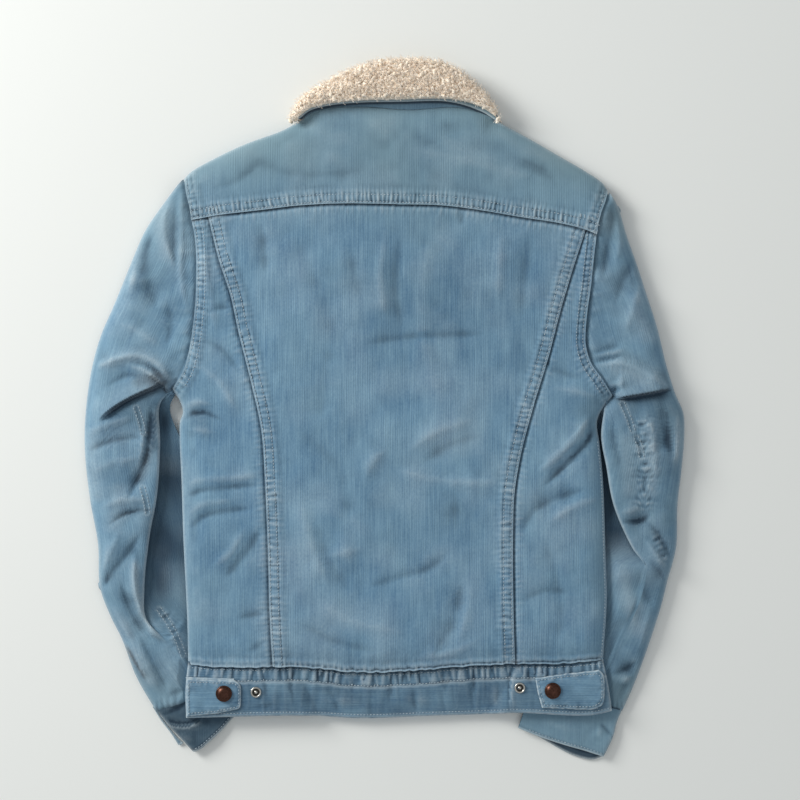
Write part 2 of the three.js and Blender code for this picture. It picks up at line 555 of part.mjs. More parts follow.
// How far a point lies outside the body's edge and hem.
const hemFine = divided(hem, 60);
const bodyEdgeLeft = [...divided(bandEndLeft, 8), ...lines.sideLeft.slice(1)];
const bodyEdgeRight = [...divided(bandEndRight, 8), ...lines.sideRight.slice(1)];
function outsideBody(x, y) {
  const left = x < CENTRE_X;
  const edgeX = lookUp(left ? bodyEdgeLeft : bodyEdgeRight, "y", "x", y);
  const sideways = left ? edgeX - x : x - edgeX;
  return Math.max(sideways, lookUp(hemFine, "x", "y", x) - y);
}
const TUCK_SLOPE = 0.75;
const TUCK_CLEAR = 23;
const TUCK_START_Y = 0;
function tuckLimit(x, y) {
  if (y > TUCK_START_Y) return Infinity;
  return TUCKED_HEIGHT + TUCK_SLOPE * Math.max(0, outsideBody(x, y) - TUCK_CLEAR);
}

function upperArmTop(arm, x, y) {
  const height = lookUp(sleeveHeight, "y", "height", y);
  const outer = rounded(distanceTo(arm.outer, x, y) / SLEEVE_ROUND);
  const foldEdge = 0.35 + 0.65 * rounded(distanceTo(arm.fold.slice(2), x, y) / 14);
  const crease = 1 - 0.55 * dip(distanceTo(arm.creaseLine, x, y), 14);
  const seam = 1.6 * dip(distanceTo(arm.armhole, x, y), 8);
  const base = SLEEVE_FOLD_PLANE + THIN_EDGE;
  const folds = foldsAt(sleeveFolds, x, y) * outer;
  return Math.max(base, base + (height - base) * outer * foldEdge * crease + (folds - seam) * outer * foldEdge);
}

function forearmTop(arm, x, y) {
  const level = SLEEVE_FOLD_PLANE - SEAM_GAP;
  const awayFromFold = ramp((distanceOutside(arm, x, y) - 22) / 18);
  const height = lookUp(sleeveHeight, "y", "height", y);
  const outer = rounded(distanceTo(arm.outer, x, y) / SLEEVE_ROUND);
  const lower = ramp((-118 - y) / 60);
  const rise = (height - level) * outer * awayFromFold * lower;
  const folds = foldsAt(sleeveFolds, x, y) * outer * awayFromFold * lower;
  return Math.min(Math.max(level - 1.5, level + rise + folds), tuckLimit(x, y));
}

// Distance outside the upper arm's outline, 0 inside it.
function distanceOutside(arm, x, y) {
  const shape = arm.shape;
  let inside = false;
  for (let i = 0, k = shape.length - 1; i < shape.length; k = i++) {
    const a = shape[i];
    const b = shape[k];
    if (a.y > y !== b.y > y && x < ((b.x - a.x) * (y - a.y)) / (b.y - a.y) + a.x) inside = !inside;
  }
  return inside ? 0 : distanceTo([...shape, shape[0]], x, y);
}

function forearmUnderside(arm, x, y) {
  return SLEEVE_EDGE_HEIGHT * (1 - rounded(distanceTo(arm.outer, x, y) / SLEEVE_EDGE_ROUND));
}

// A line across the sleeve, with the shoulder tip opened to a short edge.
function sleeveGrid(outer, inner, endLine, left) {
  const short = { x: outer[0].x * 0.4 + inner[1].x * 0.6, y: outer[0].y * 0.4 + inner[1].y * 0.6 };
  const tip = straight(outer[0], short);
  const start = divided(tip, endLine.length - 1);
  const side = [start.at(-1), ...inner.slice(1)];
  return left
    ? patch({ left: reversed(outer), right: reversed(side), lower: endLine, upper: start, inset: CHORD_INSET })
    : patch({
      left: reversed(side),
      right: reversed(outer),
      lower: reversed(endLine),
      upper: reversed(start),
      inset: CHORD_INSET,
    });
}

for (const side of ["left", "right"]) {
  const arm = sleeveSide(side);
  const upperRows = ARM_STEPS + YOKE_END_STEPS + FOREARM_STEPS + 5;
  const creaseLine = steppedIn(arm.crease, ACROSS_SLEEVE - 2, [3, 9], [3]);
  arm.creaseLine = creaseLine;
  const outerUpper = arm.outer.slice(0, upperRows);
  const innerUpper = chain(arm.armhole, arm.fold);
  arm.shape = [...outerUpper, ...creaseLine, ...reversed(innerUpper)];
  const upperGrid = sleeveGrid(outerUpper, innerUpper, creaseLine, arm.left);
  const upperTop = (x, y) => upperArmTop(arm, x, y);
  add("sleeve_" + side + "_upper", wall(upperGrid, upperTop, () => SLEEVE_FOLD_PLANE), corduroy());

  const seamLine = steppedIn(arm.cuffSeam, ACROSS_SLEEVE - 1, [8], [4]);
  const lowerGrid = sleeveGrid(arm.outer, chain(arm.armhole, arm.tucked), seamLine, arm.left);
  const lowerTop = (x, y) => forearmTop(arm, x, y);
  const lowerUnderside = (x, y) => forearmUnderside(arm, x, y);
  add("sleeve_" + side + "_lower", wall(lowerGrid, lowerTop, lowerUnderside), corduroyShade());
}

// Cuffs: two layers, the upper one a little open at the mouth.
const CUFF_MOUTH_OPEN = 1.8;
function cuffLayer(name, top, mouth, outerSide, innerSide, left, topAt, undersideAt) {
  const lower = divided(left ? mouth : reversed(mouth), 8);
  const upper = divided(left ? top : reversed(top), 8);
  const start = divided(outerSide, 4);
  const end = divided(innerSide, 4);
  const grid = left
    ? patch({ left: reversed(start), right: reversed(end), lower, upper, inset: CHORD_INSET })
    : patch({ left: reversed(end), right: reversed(start), lower, upper, inset: CHORD_INSET });
  add(name, wall(grid, topAt, undersideAt), corduroy());
}
const cuffBase = CUFF_WALL + SEAM_GAP;
const mouthOpen = (x, y) => CUFF_MOUTH_OPEN * ramp((outsideBody(x, y) - 4) / 25);
const cuffUpperTop = (x, y) => cuffBase + CUFF_WALL + mouthOpen(x, y);
const cuffUpperUnderside = (x, y) => cuffBase + mouthOpen(x, y);
const cuffUnderTop = () => CUFF_WALL;
const onSurface = () => 0;
cuffLayer("cuff_left_upper", cuffTopLeft, cuffMouthLeft, cuffSideOuterLeft, cuffSideInnerLeft, true,
  cuffUpperTop, cuffUpperUnderside);
cuffLayer("cuff_left_under", cuffTopLeft, cuffMouthLeft, cuffSideOuterLeft, cuffSideInnerLeft, true,
  cuffUnderTop, onSurface);
cuffLayer("cuff_right_upper", cuffSeamRight, cuffMouthUpperRight, cuffSideOuterRight, cuffSideInnerRight, false,
  cuffUpperTop, cuffUpperUnderside);
cuffLayer("cuff_right_under", cuffSeamRight, cuffMouthUnderRight, cuffSideOuterRight, cuffSideInnerRight, false,
  cuffUnderTop, onSurface);

// End of the left cuff's opening, which stands out under the cuff.
const flapGrid = patch({
  left: divided(straight(flapOuter.at(-1), flapOuter[0]), 1),
  right: divided(straight(flapInner.at(-1), flapInner[0]), 1),
  lower: [flapOuter.at(-1), flapInner.at(-1)],
  upper: [flapOuter[0], flapInner[0]],
});
add("cuff_left_flap", wall(flapGrid, () => CUFF_WALL, onSurface), corduroyShade());

// Waistband: front layer sagging to the surface between the sleeves, back layer lying on it.
const BAND_DEPTH = 54;
const bandShare = (x, y) => THREE.MathUtils.clamp(distanceTo(waistLine, x, y) / BAND_DEPTH, 0, 1);
const bandFrontUnderside = (x, y) => bodyLift(x, y);
function bandFrontTop(x, y) {
  const wedge = FRONT_WALL + (BAND_WALL - FRONT_WALL) * bandShare(x, y);
  return Math.max(bodyLift(x, y) + BAND_WALL, wedge);
}
const bandBackUnderside = (x, y) => bandFrontTop(x, y) + SEAM_GAP;
function bandBackTop(x, y) {
  const seam = 0.8 * dip(distanceTo(waistLine, x, y), 5) + 0.6 * dip(distanceTo(hemFine, x, y), 4);
  return bandBackUnderside(x, y) + BAND_WALL + 1.1 * Math.sin(Math.PI * bandShare(x, y)) - seam;
}
function bandGrid(lowerSteps, rowSteps) {
  const lower = steppedIn(hem, lowerSteps, [4], [4]);
  const upper = steppedIn([...waistSeamLeft, ...waistSeamCentre.slice(1), ...waistSeamRight.slice(1)],
    lowerSteps, [4], [4]);
  const left = steppedIn(bandEndLeft, rowSteps, [5], [5]);
  const right = steppedIn(bandEndRight, rowSteps, [5], [5]);
  return patch({ left, right, lower, upper, inset: CHORD_INSET });
}
add("waistband_back", wall(bandGrid(30, 2), bandBackTop, bandBackUnderside), corduroy());
add("waistband_front", wall(bandGrid(30, 2), bandFrontTop, bandFrontUnderside), corduroyShade());

// Waist tabs on the band, each with its button, and the ring stud beside it.
const TAB_CLEAR = 0.45;
const tabUnderside = (x, y) => bandBackTop(x, y) + TAB_CLEAR;
const tabTop = (x, y) => tabUnderside(x, y) + TAB_WALL;
function tab(name, lower, upper, start, end) {
  const grid = patch({
    left: divided(start, 4),
    right: divided(end, 4),
    lower: divided(lower, 6),
    upper: divided(upper, 6),
  });
  add(name, wall(grid, tabTop, tabUnderside), corduroy());
}
tab("tab_left", tabLeftLower, tabLeftUpper, tabLeftStart, tabLeftEnd);
tab("tab_right", tabRightLower, tabRightUpper, tabRightStart, tabRightEnd);

// Highest point of a surface under a round piece.
function seatHeight(surface, x, y, radius) {
  let top = surface(x, y);
  for (let k = 0; k < 12; k++) {
    const turn = (k * Math.PI) / 6;
    top = Math.max(top, surface(x + radius * Math.cos(turn), y + radius * Math.sin(turn)));
  }
  return top;
}
const ringProfile = table("r z", [0, 0], [RING_DIAMETER / 2, 0], [RING_DIAMETER / 2, 1.1],
  [RING_DIAMETER * 0.4, RING_HEIGHT], [RING_DIAMETER * 0.3, 1.6], [RING_DIAMETER * 0.22, 0.7], [0, 0.7]);
["left", "right"].forEach((side, k) => {
  const button = tabButtons[k];
  const buttonSeat = seatHeight(tabTop, button.x, button.y, BUTTON_DIAMETER / 2) + SEAM_GAP;
  add("tab_button_" + side, turned(capProfile(BUTTON_DIAMETER, BUTTON_HEIGHT), 24), copper(), button.x, button.y,
    buttonSeat);
  const ring = tabRings[k];
  const ringSeat = seatHeight(bandBackTop, ring.x, ring.y, RING_DIAMETER / 2) + SEAM_GAP;
  add("tab_ring_" + side, turned(ringProfile, 20), nickel(), ring.x, ring.y, ringSeat);
});

// Collar: a pile front part under the neck, the stand, the cloth edge of the leaf and the pile leaf on top.
const collarOuterLine = divided(leafOuter, 60);
const LEAF_ROUND = 20;
function leafTop(x, y) {
  const outer = rounded(distanceTo(collarOuterLine, x, y) / LEAF_ROUND);
  const lower = 0.45 + 0.55 * rounded(distanceTo(leafLowerLine, x, y) / 13);
  return COLLAR_PLANE + 3 + (COLLAR_LOFT - 3) * Math.min(outer, lower);
}
const leafUnderside = () => COLLAR_PLANE;
const leafLowerLine = divided(leafLower, 24);
const leafOuterLine = divided(leafOuter, 24);

// A line part of the way from one line to another.
const between = (from, to, share) =>
  from.map((p, i) => ({ x: p.x + (to[i].x - p.x) * share, y: p.y + (to[i].y - p.y) * share }));

// Between two lines that run from left to right, with rows at the given shares.
function strip(lower, upper, rows, inset = SEAM_GAP / 2) {
  const grid = rows.map((share) => between(lower, upper, share).map((p) => new THREE.Vector2(p.x, p.y)));
  return drawnIn(grid, inset);
}
const leafRows = [0, 0.08, 0.22, 0.42, 0.62, 0.8, 0.92, 1];
add("collar_leaf", wall(strip(leafLowerLine, leafOuterLine, leafRows), leafTop, leafUnderside), sherpa());

const COLLAR_CLOTH = 2.4;
const FOLD_SHARE = 0.96; // how near the cloth under the leaf comes to its outer line
const edgeUpper = between(leafLowerLine, leafOuterLine, FOLD_SHARE);
const edgeLower = leafLowerLine.map((p) => ({ x: p.x, y: p.y - 2.6 }));
add("collar_edge", wall(strip(edgeLower, edgeUpper, [0, 0.5, 1]), () => COLLAR_PLANE - SEAM_GAP,
  () => COLLAR_PLANE - SEAM_GAP - COLLAR_CLOTH), corduroyShade());
const STAND_TOP = COLLAR_PLANE - 2 * SEAM_GAP - COLLAR_CLOTH;
const neckSteps = divided(neckline, 24);
add("collar_stand", wall(strip(neckSteps, between(neckSteps, leafOuterLine, FOLD_SHARE), [0, 0.5, 1],
  3 * SEAM_GAP), () => STAND_TOP,
  backUnderside), corduroyShade());
const COLLAR_FRONT_EDGE = 5; // underside of the front part at its outer line, rounded up to it
const COLLAR_FRONT_ROUND = 14;
function collarFrontUnderside(x, y) {
  return COLLAR_FRONT_EDGE * (1 - rounded(distanceTo(collarOuterLine, x, y) / COLLAR_FRONT_ROUND));
}
add("collar_front", wall(strip(neckSteps, between(neckSteps, leafOuterLine, FOLD_SHARE), [0, 0.4, 0.75, 0.92, 1],
  2 * SEAM_GAP),
  frontTop, collarFrontUnderside), sherpa());

export default jacket;
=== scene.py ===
# Corduroy jacket with a sherpa collar, buttoned and laid face down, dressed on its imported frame.
# Lengths are millimetres until a mesh is made. X runs to the wearer's right, Y to the collar, Z up.
import math
import bpy
import numpy as np
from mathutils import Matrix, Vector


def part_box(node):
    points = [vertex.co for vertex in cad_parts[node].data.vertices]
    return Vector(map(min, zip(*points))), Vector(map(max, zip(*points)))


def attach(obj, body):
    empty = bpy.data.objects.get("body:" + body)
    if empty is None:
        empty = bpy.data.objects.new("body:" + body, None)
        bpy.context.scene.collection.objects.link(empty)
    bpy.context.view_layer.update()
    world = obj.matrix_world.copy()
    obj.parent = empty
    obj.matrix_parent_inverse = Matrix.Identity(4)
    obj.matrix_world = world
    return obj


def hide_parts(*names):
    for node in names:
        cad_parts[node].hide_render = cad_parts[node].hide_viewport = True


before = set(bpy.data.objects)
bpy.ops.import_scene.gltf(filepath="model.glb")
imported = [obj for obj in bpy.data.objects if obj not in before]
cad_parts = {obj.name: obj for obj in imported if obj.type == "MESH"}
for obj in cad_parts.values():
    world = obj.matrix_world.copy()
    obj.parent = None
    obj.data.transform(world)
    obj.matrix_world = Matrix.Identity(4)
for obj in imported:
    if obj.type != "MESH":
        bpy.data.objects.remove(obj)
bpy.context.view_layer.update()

scene = bpy.context.scene
scene.view_settings.view_transform = "Standard"
mm = 0.001

# Places read off the photograph are pixels of its 800 x 800 frame.
photo = {"perPixel": 1.04, "zeroX": 385, "zeroY": 411, "width": 800}


def fromPhoto(*spots):
    return np.array([((px - photo["zeroX"]) * photo["perPixel"], (photo["zeroY"] - py) * photo["perPixel"])
                     for px, py in spots])


# Camera, floor and light
view = {"height": 2.2, "focusHeight": 0.014, "sensor": 36}
middle = fromPhoto((photo["width"] / 2, photo["width"] / 2))[0] * mm
cameraData = bpy.data.cameras.new("photoCamera")
cameraData.sensor_width = view["sensor"]
cameraData.lens = view["sensor"] * view["height"] / (photo["width"] * photo["perPixel"] * mm)
camera = bpy.data.objects.new("photoCamera", cameraData)
camera.location = (middle[0], middle[1], view["height"] + view["focusHeight"])
scene.collection.objects.link(camera)
scene.camera = camera

light = {
    "keyPlace": (-2.05, 1.25, 1.25), "keySize": 1.1, "keyPower": 68,
    "fillPlace": (0.9, -0.9, 2.2), "fillSize": 2.2, "fillPower": 4,
    "sky": "#F0F2F2", "skyStrength": 0.5,
}


def linear(hexColour, alpha=1.0):
    parts = [int(hexColour[k:k + 2], 16) / 255 for k in (1, 3, 5)]
    return (*[p / 12.92 if p <= 0.04045 else ((p + 0.055) / 1.055) ** 2.4 for p in parts], alpha)


def areaLight(name, place, size, power, colour):
    data = bpy.data.lights.new(name, "AREA")
    data.size = size
    data.energy = power
    data.color = linear(colour)[:3]
    lamp = bpy.data.objects.new(name, data)
    lamp.location = place
    aim = np.array([0.0, 0.0, 0.0]) - np.array(place)
    lamp.rotation_euler = (math.acos(-aim[2] / np.linalg.norm(aim)), 0,
                           math.atan2(aim[1], aim[0]) - math.pi / 2)
    scene.collection.objects.link(lamp)


areaLight("windowLight", light["keyPlace"], light["keySize"], light["keyPower"], "#FFFDF8")
areaLight("bounceLight", light["fillPlace"], light["fillSize"], light["fillPower"], "#F4F7FA")
world = bpy.data.worlds.new("softRoom")
world.use_nodes = True
background = world.node_tree.nodes["Background"]
background.inputs["Color"].default_value = linear(light["sky"])
background.inputs["Strength"].default_value = light["skyStrength"]
scene.world = world


def addNode(tree, kind, settings=None, inputs=None):
    node = tree.nodes.new(kind)
    for key, value in (settings or {}).items():
        setattr(node, key, value)
    for key, value in (inputs or {}).items():
        if isinstance(value, bpy.types.NodeSocket):
            tree.links.new(value, node.inputs[key])
        else:
            node.inputs[key].default_value = value
    return node


def newMaterial(name):
    material = bpy.data.materials.new(name)
    material.use_nodes = True
    tree = material.node_tree
    tree.nodes.clear()
    shader = addNode(tree, "ShaderNodeBsdfPrincipled")
    addNode(tree, "ShaderNodeOutputMaterial", None, {"Surface": shader.outputs["BSDF"]})
    return material, tree, shader


def mathNode(tree, operation, first, second=0.0, clamp=False):
    node = addNode(tree, "ShaderNodeMath", {"operation": operation, "use_clamp": clamp},
                   {0: first, 1: second})
    return node.outputs[0]


def mixColour(tree, share, first, second, blend="MIX"):
    node = addNode(tree, "ShaderNodeMix", {"data_type": "RGBA", "blend_type": blend},
                   {0: share, 6: first, 7: second})
    return node.outputs[2]


# Washed fine-wale cotton corduroy: cut pile ribs, dull with a soft sheen, whitened where it rubs and by
# painted highlight.
# Its real wale, about 1.8 mm, is drawn at 2.4 mm, because it would be too fine for the render.
corduroy = {
    "wale": 2.4, "waleHeight": 0.5, "wander": 1.3, "middleTone": 0.47, "waleTone": 0.08, "darkest": 0.86,
    "deep": "#4A7091", "pale": "#85A9BF", "wornAndHighlighted": "#C6D2D7", "grey": "#78939E", "dark": "#18283A",
}


def corduroyMaterial(name):
    material, tree, shader = newMaterial(name)
    cloth = addNode(tree, "ShaderNodeUVMap", {"uv_map": "cloth"}).outputs["UV"]
    part = addNode(tree, "ShaderNodeSeparateXYZ", None, {"Vector": cloth})
    # Marks carried by the mesh: wear with painted highlight, painted shade, and a greyer tint
    marks = addNode(tree, "ShaderNodeAttribute", {"attribute_name": "wearHighlightShadeTint"})
    wearHighlightShadeTint = addNode(tree, "ShaderNodeSeparateColor", None, {"Color": marks.outputs["Color"]})
    wearAndHighlight, shade, tint = (wearHighlightShadeTint.outputs[k] for k in range(3))

    def cloud(scaleAcross, scaleAlong, detail, rough=0.55):
        placed = addNode(tree, "ShaderNodeMapping", None,
                         {"Vector": cloth, "Scale": (scaleAcross, scaleAlong, 1)})
        noise = addNode(tree, "ShaderNodeTexNoise", None,
                        {"Vector": placed.outputs[0], "Scale": 1.0, "Detail": detail, "Roughness": rough})
        return noise.outputs[0]

    wander = mathNode(tree, "MULTIPLY", mathNode(tree, "SUBTRACT", cloud(26, 12, 2), 0.5),
                      corduroy["wander"] * mm * 2)
    across = mathNode(tree, "ADD", part.outputs[0], wander)
    turns = mathNode(tree, "MULTIPLY", across, 2 * math.pi / (corduroy["wale"] * mm))
    wale = mathNode(tree, "MULTIPLY_ADD", mathNode(tree, "SINE", turns), 0.5)
    tree.nodes[-1].inputs[2].default_value = 0.5
    streak = cloud(430, 22, 3)
    fleck = cloud(620, 330, 3)
    patch = cloud(34, 24, 4)
    blotch = cloud(9, 7, 2)
    shown = mathNode(tree, "MULTIPLY", mathNode(tree, "SUBTRACT", cloud(55, 16, 3), 0.34), 3.0, True)
    wale = mathNode(tree, "MULTIPLY", wale, shown)
    tone = mathNode(tree, "MULTIPLY", wale, corduroy["waleTone"])
    for source, weight in ((streak, 0.95), (patch, 0.85), (fleck, 0.55), (blotch, 0.4)):
        tone = mathNode(tree, "ADD", tone,
                        mathNode(tree, "MULTIPLY", mathNode(tree, "SUBTRACT", source, 0.5), weight))
    tone = mathNode(tree, "ADD", tone, corduroy["middleTone"], True)
    colour = mixColour(tree, tone, linear(corduroy["deep"]), linear(corduroy["pale"]))
    colour = mixColour(tree, tint, colour, linear(corduroy["grey"]))
    # Painted shade: a dark blue mixed in where the shade mark is high
    paintedShadeShare = mathNode(tree, "MULTIPLY", shade, corduroy["darkest"], True)
    colour = mixColour(tree, paintedShadeShare, colour, linear(corduroy["dark"]))
    # Whitened where the cloth rubs and where a painted highlight lies
    wornAndPaintedLight = mathNode(tree, "MULTIPLY", wearAndHighlight,
                      mathNode(tree, "ADD", mathNode(tree, "MULTIPLY", fleck, 1.3), 0.3), True)
    colour = mixColour(tree, wornAndPaintedLight, colour, linear(corduroy["wornAndHighlighted"]))
    relief = mathNode(tree, "ADD", wale, mathNode(tree, "MULTIPLY", fleck, 0.9))
    bump = addNode(tree, "ShaderNodeBump", None,
                   {"Height": relief, "Strength": 0.34, "Distance": corduroy["waleHeight"] * mm})
    tree.links.new(colour, shader.inputs["Base Color"])
    tree.links.new(bump.outputs[0], shader.inputs["Normal"])
    shader.inputs["Roughness"].default_value = 0.92
    shader.inputs["Specular IOR Level"].default_value = 0.18
    shader.inputs["Sheen Weight"].default_value = 0.22
    shader.inputs["Sheen Roughness"].default_value = 0.5
    shader.inputs["Sheen Tint"].default_value = linear("#C9DCEA")
    return material


outerCloth = corduroyMaterial("washedCorduroy")


# Sherpa: knitted pile brushed into curls, matt and warm; the backing between the curls has a deeper tone, as
# painted shade.
def sherpaMaterial(name, pale, deep, grain):
    material, tree, shader = newMaterial(name)
    place = addNode(tree, "ShaderNodeTexCoord").outputs["Object"]
    curl = addNode(tree, "ShaderNodeTexNoise", None,
                   {"Vector": place, "Scale": grain, "Detail": 4.0}).outputs[0]
    lock = addNode(tree, "ShaderNodeAttribute", {"attribute_name": "lockTone"}).outputs["Fac"]
    share = mathNode(tree, "ADD", mathNode(tree, "MULTIPLY", curl, 0.7),
                     mathNode(tree, "MULTIPLY", lock, 0.5), True)
    tree.links.new(mixColour(tree, share, linear(deep), linear(pale)), shader.inputs["Base Color"])
    bump = addNode(tree, "ShaderNodeBump", None, {"Height": curl, "Strength": 0.25, "Distance": 0.5 * mm})
    tree.links.new(bump.outputs[0], shader.inputs["Normal"])
    shader.inputs["Roughness"].default_value = 1.0
    shader.inputs["Specular IOR Level"].default_value = 0.1
    shader.inputs["Sheen Weight"].default_value = 0.35
    shader.inputs["Sheen Tint"].default_value = linear("#FFF3E4")
    shader.inputs["Subsurface Weight"].default_value = 0.45
    shader.inputs["Subsurface Radius"].default_value = (1.0, 0.96, 0.92)
    shader.inputs["Subsurface Scale"].default_value = 1.4 * mm
    return material


pileBase = sherpaMaterial("sherpaBacking", "#FDEEDC", "#F6E2CD", 500.0)
pileLocks = sherpaMaterial("sherpaCurls", "#FFF1E2", "#FAE8D4", 420.0)


# Spun polyester topstitching thread, a paler blue than the cloth and a little glossy.
def threadMaterial(name, dark, pale):
    material, tree, shader = newMaterial(name)
    place = addNode(tree, "ShaderNodeTexCoord").outputs["Object"]
    noise = addNode(tree, "ShaderNodeTexNoise", None,
                    {"Vector": place, "Scale": 90.0, "Detail": 3.0}).outputs[0]
    tree.links.new(mixColour(tree, noise, linear(dark), linear(pale)), shader.inputs["Base Color"])
    shader.inputs["Roughness"].default_value = 0.65
    return material


thread = threadMaterial("topstitchThread", "#7E99AD", "#C3CFD4")


# Copper plated steel, aged brown: rubbed brighter on the dome, nearly black at the rim.
def metalMaterial(name, bright, aged, roughness, grain):
    material, tree, shader = newMaterial(name)
    place = addNode(tree, "ShaderNodeTexCoord").outputs["Object"]
    noise = addNode(tree, "ShaderNodeTexNoise", None,
                    {"Vector": place, "Scale": grain, "Detail": 5.0}).outputs[0]
    tree.links.new(mixColour(tree, noise, linear(aged), linear(bright)), shader.inputs["Base Color"])
    bump = addNode(tree, "ShaderNodeBump", None, {"Height": noise, "Strength": 0.35, "Distance": 0.25 * mm})
    tree.links.new(bump.outputs[0], shader.inputs["Normal"])
    shader.inputs["Metallic"].default_value = 1.0
    shader.inputs["Roughness"].default_value = roughness
    return material


agedCopper = metalMaterial("agedCopperPlate", "#6E4E43", "#20130F", 0.36, 520.0)
wornNickel = metalMaterial("wornNickelPlate", "#E4E4E0", "#8C8A84", 0.3, 500.0)
# Near-black nickel for the ring's recess: painted shade
shadedNickel = metalMaterial("paintedShadeNickelSocket", "#55534E", "#1C1B1A", 0.5, 500.0)
# Painted board: matt and even, so the eye sees only the soft shadow on it.
floorMaterial, _, floorShader = newMaterial("mattPaleBoard")
floorShader.inputs["Base Color"].default_value = linear("#EAEDEC")
floorShader.inputs["Roughness"].default_value = 0.95
print("materials made")


# Curves and grids
def dense(rows, perSpan=8):
    points = np.array(rows, float)
    ends = np.vstack([2 * points[0] - points[1], points, 2 * points[-1] - points[-2]])
    out = []
    for k in range(len(points) - 1):
        p = ends[k:k + 4]
        t = np.concatenate([[0],
                            np.cumsum(np.maximum(np.linalg.norm(np.diff(p, axis=0), axis=1), 1e-6) ** 0.5)])
        s = np.linspace(t[1], t[2], perSpan, endpoint=False)[:, None]
        a = [(t[i + 1] - s) / (t[i + 1] - t[i]) * p[i] + (s - t[i]) / (t[i + 1] - t[i]) * p[i + 1]
             for i in range(3)]
        b = [(t[i + 2] - s) / (t[i + 2] - t[i]) * a[i] + (s - t[i]) / (t[i + 2] - t[i]) * a[i + 1]
             for i in range(2)]
        out.append((t[2] - s) / (t[2] - t[1]) * b[0] + (s - t[1]) / (t[2] - t[1]) * b[1])
    return np.vstack(out + [points[-1:]])


def runOf(line):
    return np.concatenate([[0], np.cumsum(np.linalg.norm(np.diff(line, axis=0), axis=1))])


def atShares(line, shares):
    run = runOf(line)
    return np.stack([np.interp(shares * run[-1], run, line[:, k]) for k in range(line.shape[1])], axis=1)


def chain(*lines):
    return np.vstack([lines[0], *[line[1:] for line in lines[1:]]])


# Shares of a length: fine steps at its ends, even cells between them.
def marks(length, cell, near=(), far=()):
    start = near[-1] if near else 0
    end = length - (far[-1] if far else 0)
    even = np.linspace(start, end, max(2, round((end - start) / cell) + 1))
    spots = np.concatenate([[0], near, even, [length - f for f in far], [length]])
    return np.unique(np.round(spots, 3)) / length


def patch(left, right, lower, upper, across, up):
    sides = atShares(left, up), atShares(right, up)
    ends = atShares(lower, across), atShares(upper, across)
    u, v = across[None, :, None], up[:, None, None]
    corners = ((1 - v) * ((1 - u) * ends[0][0] + u * ends[0][-1])
               + v * ((1 - u) * ends[1][0] + u * ends[1][-1]))
    return ((1 - u) * sides[0][:, None] + u * sides[1][:, None]
            + (1 - v) * ends[0][None] + v * ends[1][None] - corners)


# Lets a grid run on past one of its sides, under the piece that laps it.
def grownUnder(grid, side, steps=(1.5, 3.0)):
    turned = {"right": grid, "left": grid[:, ::-1], "upper": grid.transpose(1, 0, 2),
              "lower": grid.transpose(1, 0, 2)[:, ::-1]}[side]
    out = turned[:, -1] - turned[:, -3]
    out = out / np.linalg.norm(out, axis=1)[:, None]
    turned = np.concatenate([turned, *[(turned[:, -1] + out * s)[:, None] for s in steps]], axis=1)
    return {"right": turned, "left": turned[:, ::-1], "upper": turned.transpose(1, 0, 2),
            "lower": turned[:, ::-1].transpose(1, 0, 2)}[side]


# Distance to a line, place along it, and its side: positive to the left of its run.
def nearLine(line, x, y, reach=1e4):
    px, py = np.ravel(x), np.ravel(y)
    low, high = line.min(axis=0) - reach, line.max(axis=0) + reach
    near = np.flatnonzero((px > low[0]) & (px < high[0]) & (py > low[1]) & (py < high[1]))
    qx, qy = px[near], py[near]
    best, along, side = np.full(near.size, reach ** 2), np.zeros(near.size), np.ones(near.size)
    run = runOf(line)
    for k in range(len(line) - 1):
        dx, dy = line[k + 1] - line[k]
        squared = dx * dx + dy * dy + 1e-9
        ox, oy = qx - line[k, 0], qy - line[k, 1]
        t = np.clip((ox * dx + oy * dy) / squared, 0, 1)
        ex, ey = ox - t * dx, oy - t * dy
        away = ex * ex + ey * ey
        closer = away < best
        best[closer] = away[closer]
        along[closer] = run[k] + t[closer] * math.sqrt(squared)
        side[closer] = np.sign(dx * ey - dy * ex)[closer]
    out = [np.full(px.size, reach), np.zeros(px.size), np.ones(px.size)]
    for whole, part in zip(out, (np.sqrt(best), along, side)):
        whole[near] = part
    return [v.reshape(np.shape(x)) for v in out]


def distance(lines, x, y, reach=1e4):
    return np.minimum.reduce([nearLine(line, x, y, reach)[0] for line in lines])


def smooth(share):
    s = np.clip(share, 0, 1)
    return s * s * (3 - 2 * s)


def rounded(share):
    s = np.clip(share, 0, 1)
    return np.sqrt(1 - (1 - s) ** 2)


def bell(away, width):
    return np.exp(-(away / width) ** 2)


# A fold's section: crisp on top, with soft sides
def crest(away, width):
    return np.exp(-1.45 * (np.sqrt((away / width) ** 2 + 0.05) - math.sqrt(0.05)))


def softNoise(x, y, size, seed):
    lattice = np.random.default_rng(seed).uniform(-1, 1, (97, 97))
    u, v = np.asarray(x) / size + 31, np.asarray(y) / size + 31
    i, j = np.floor(u).astype(int), np.floor(v).astype(int)
    f, g = smooth(u - i), smooth(v - j)

    def corner(a, b):
        return lattice[(i + a) % 97, (j + b) % 97]
    return ((corner(0, 0) * (1 - f) + corner(1, 0) * f) * (1 - g)
            + (corner(0, 1) * (1 - f) + corner(1, 1) * f) * g)


# How far each point of a grid of heights stands over its neighbourhood
def standing(z, reach):
    size = 2 * reach + 1
    sums = np.pad(np.pad(z, reach, mode="edge").cumsum(0).cumsum(1), ((1, 0), (1, 0)))
    mean = (sums[size:, size:] - sums[:-size, size:] - sums[size:, :-size] + sums[:-size, :-size]) / size ** 2
    return z - mean


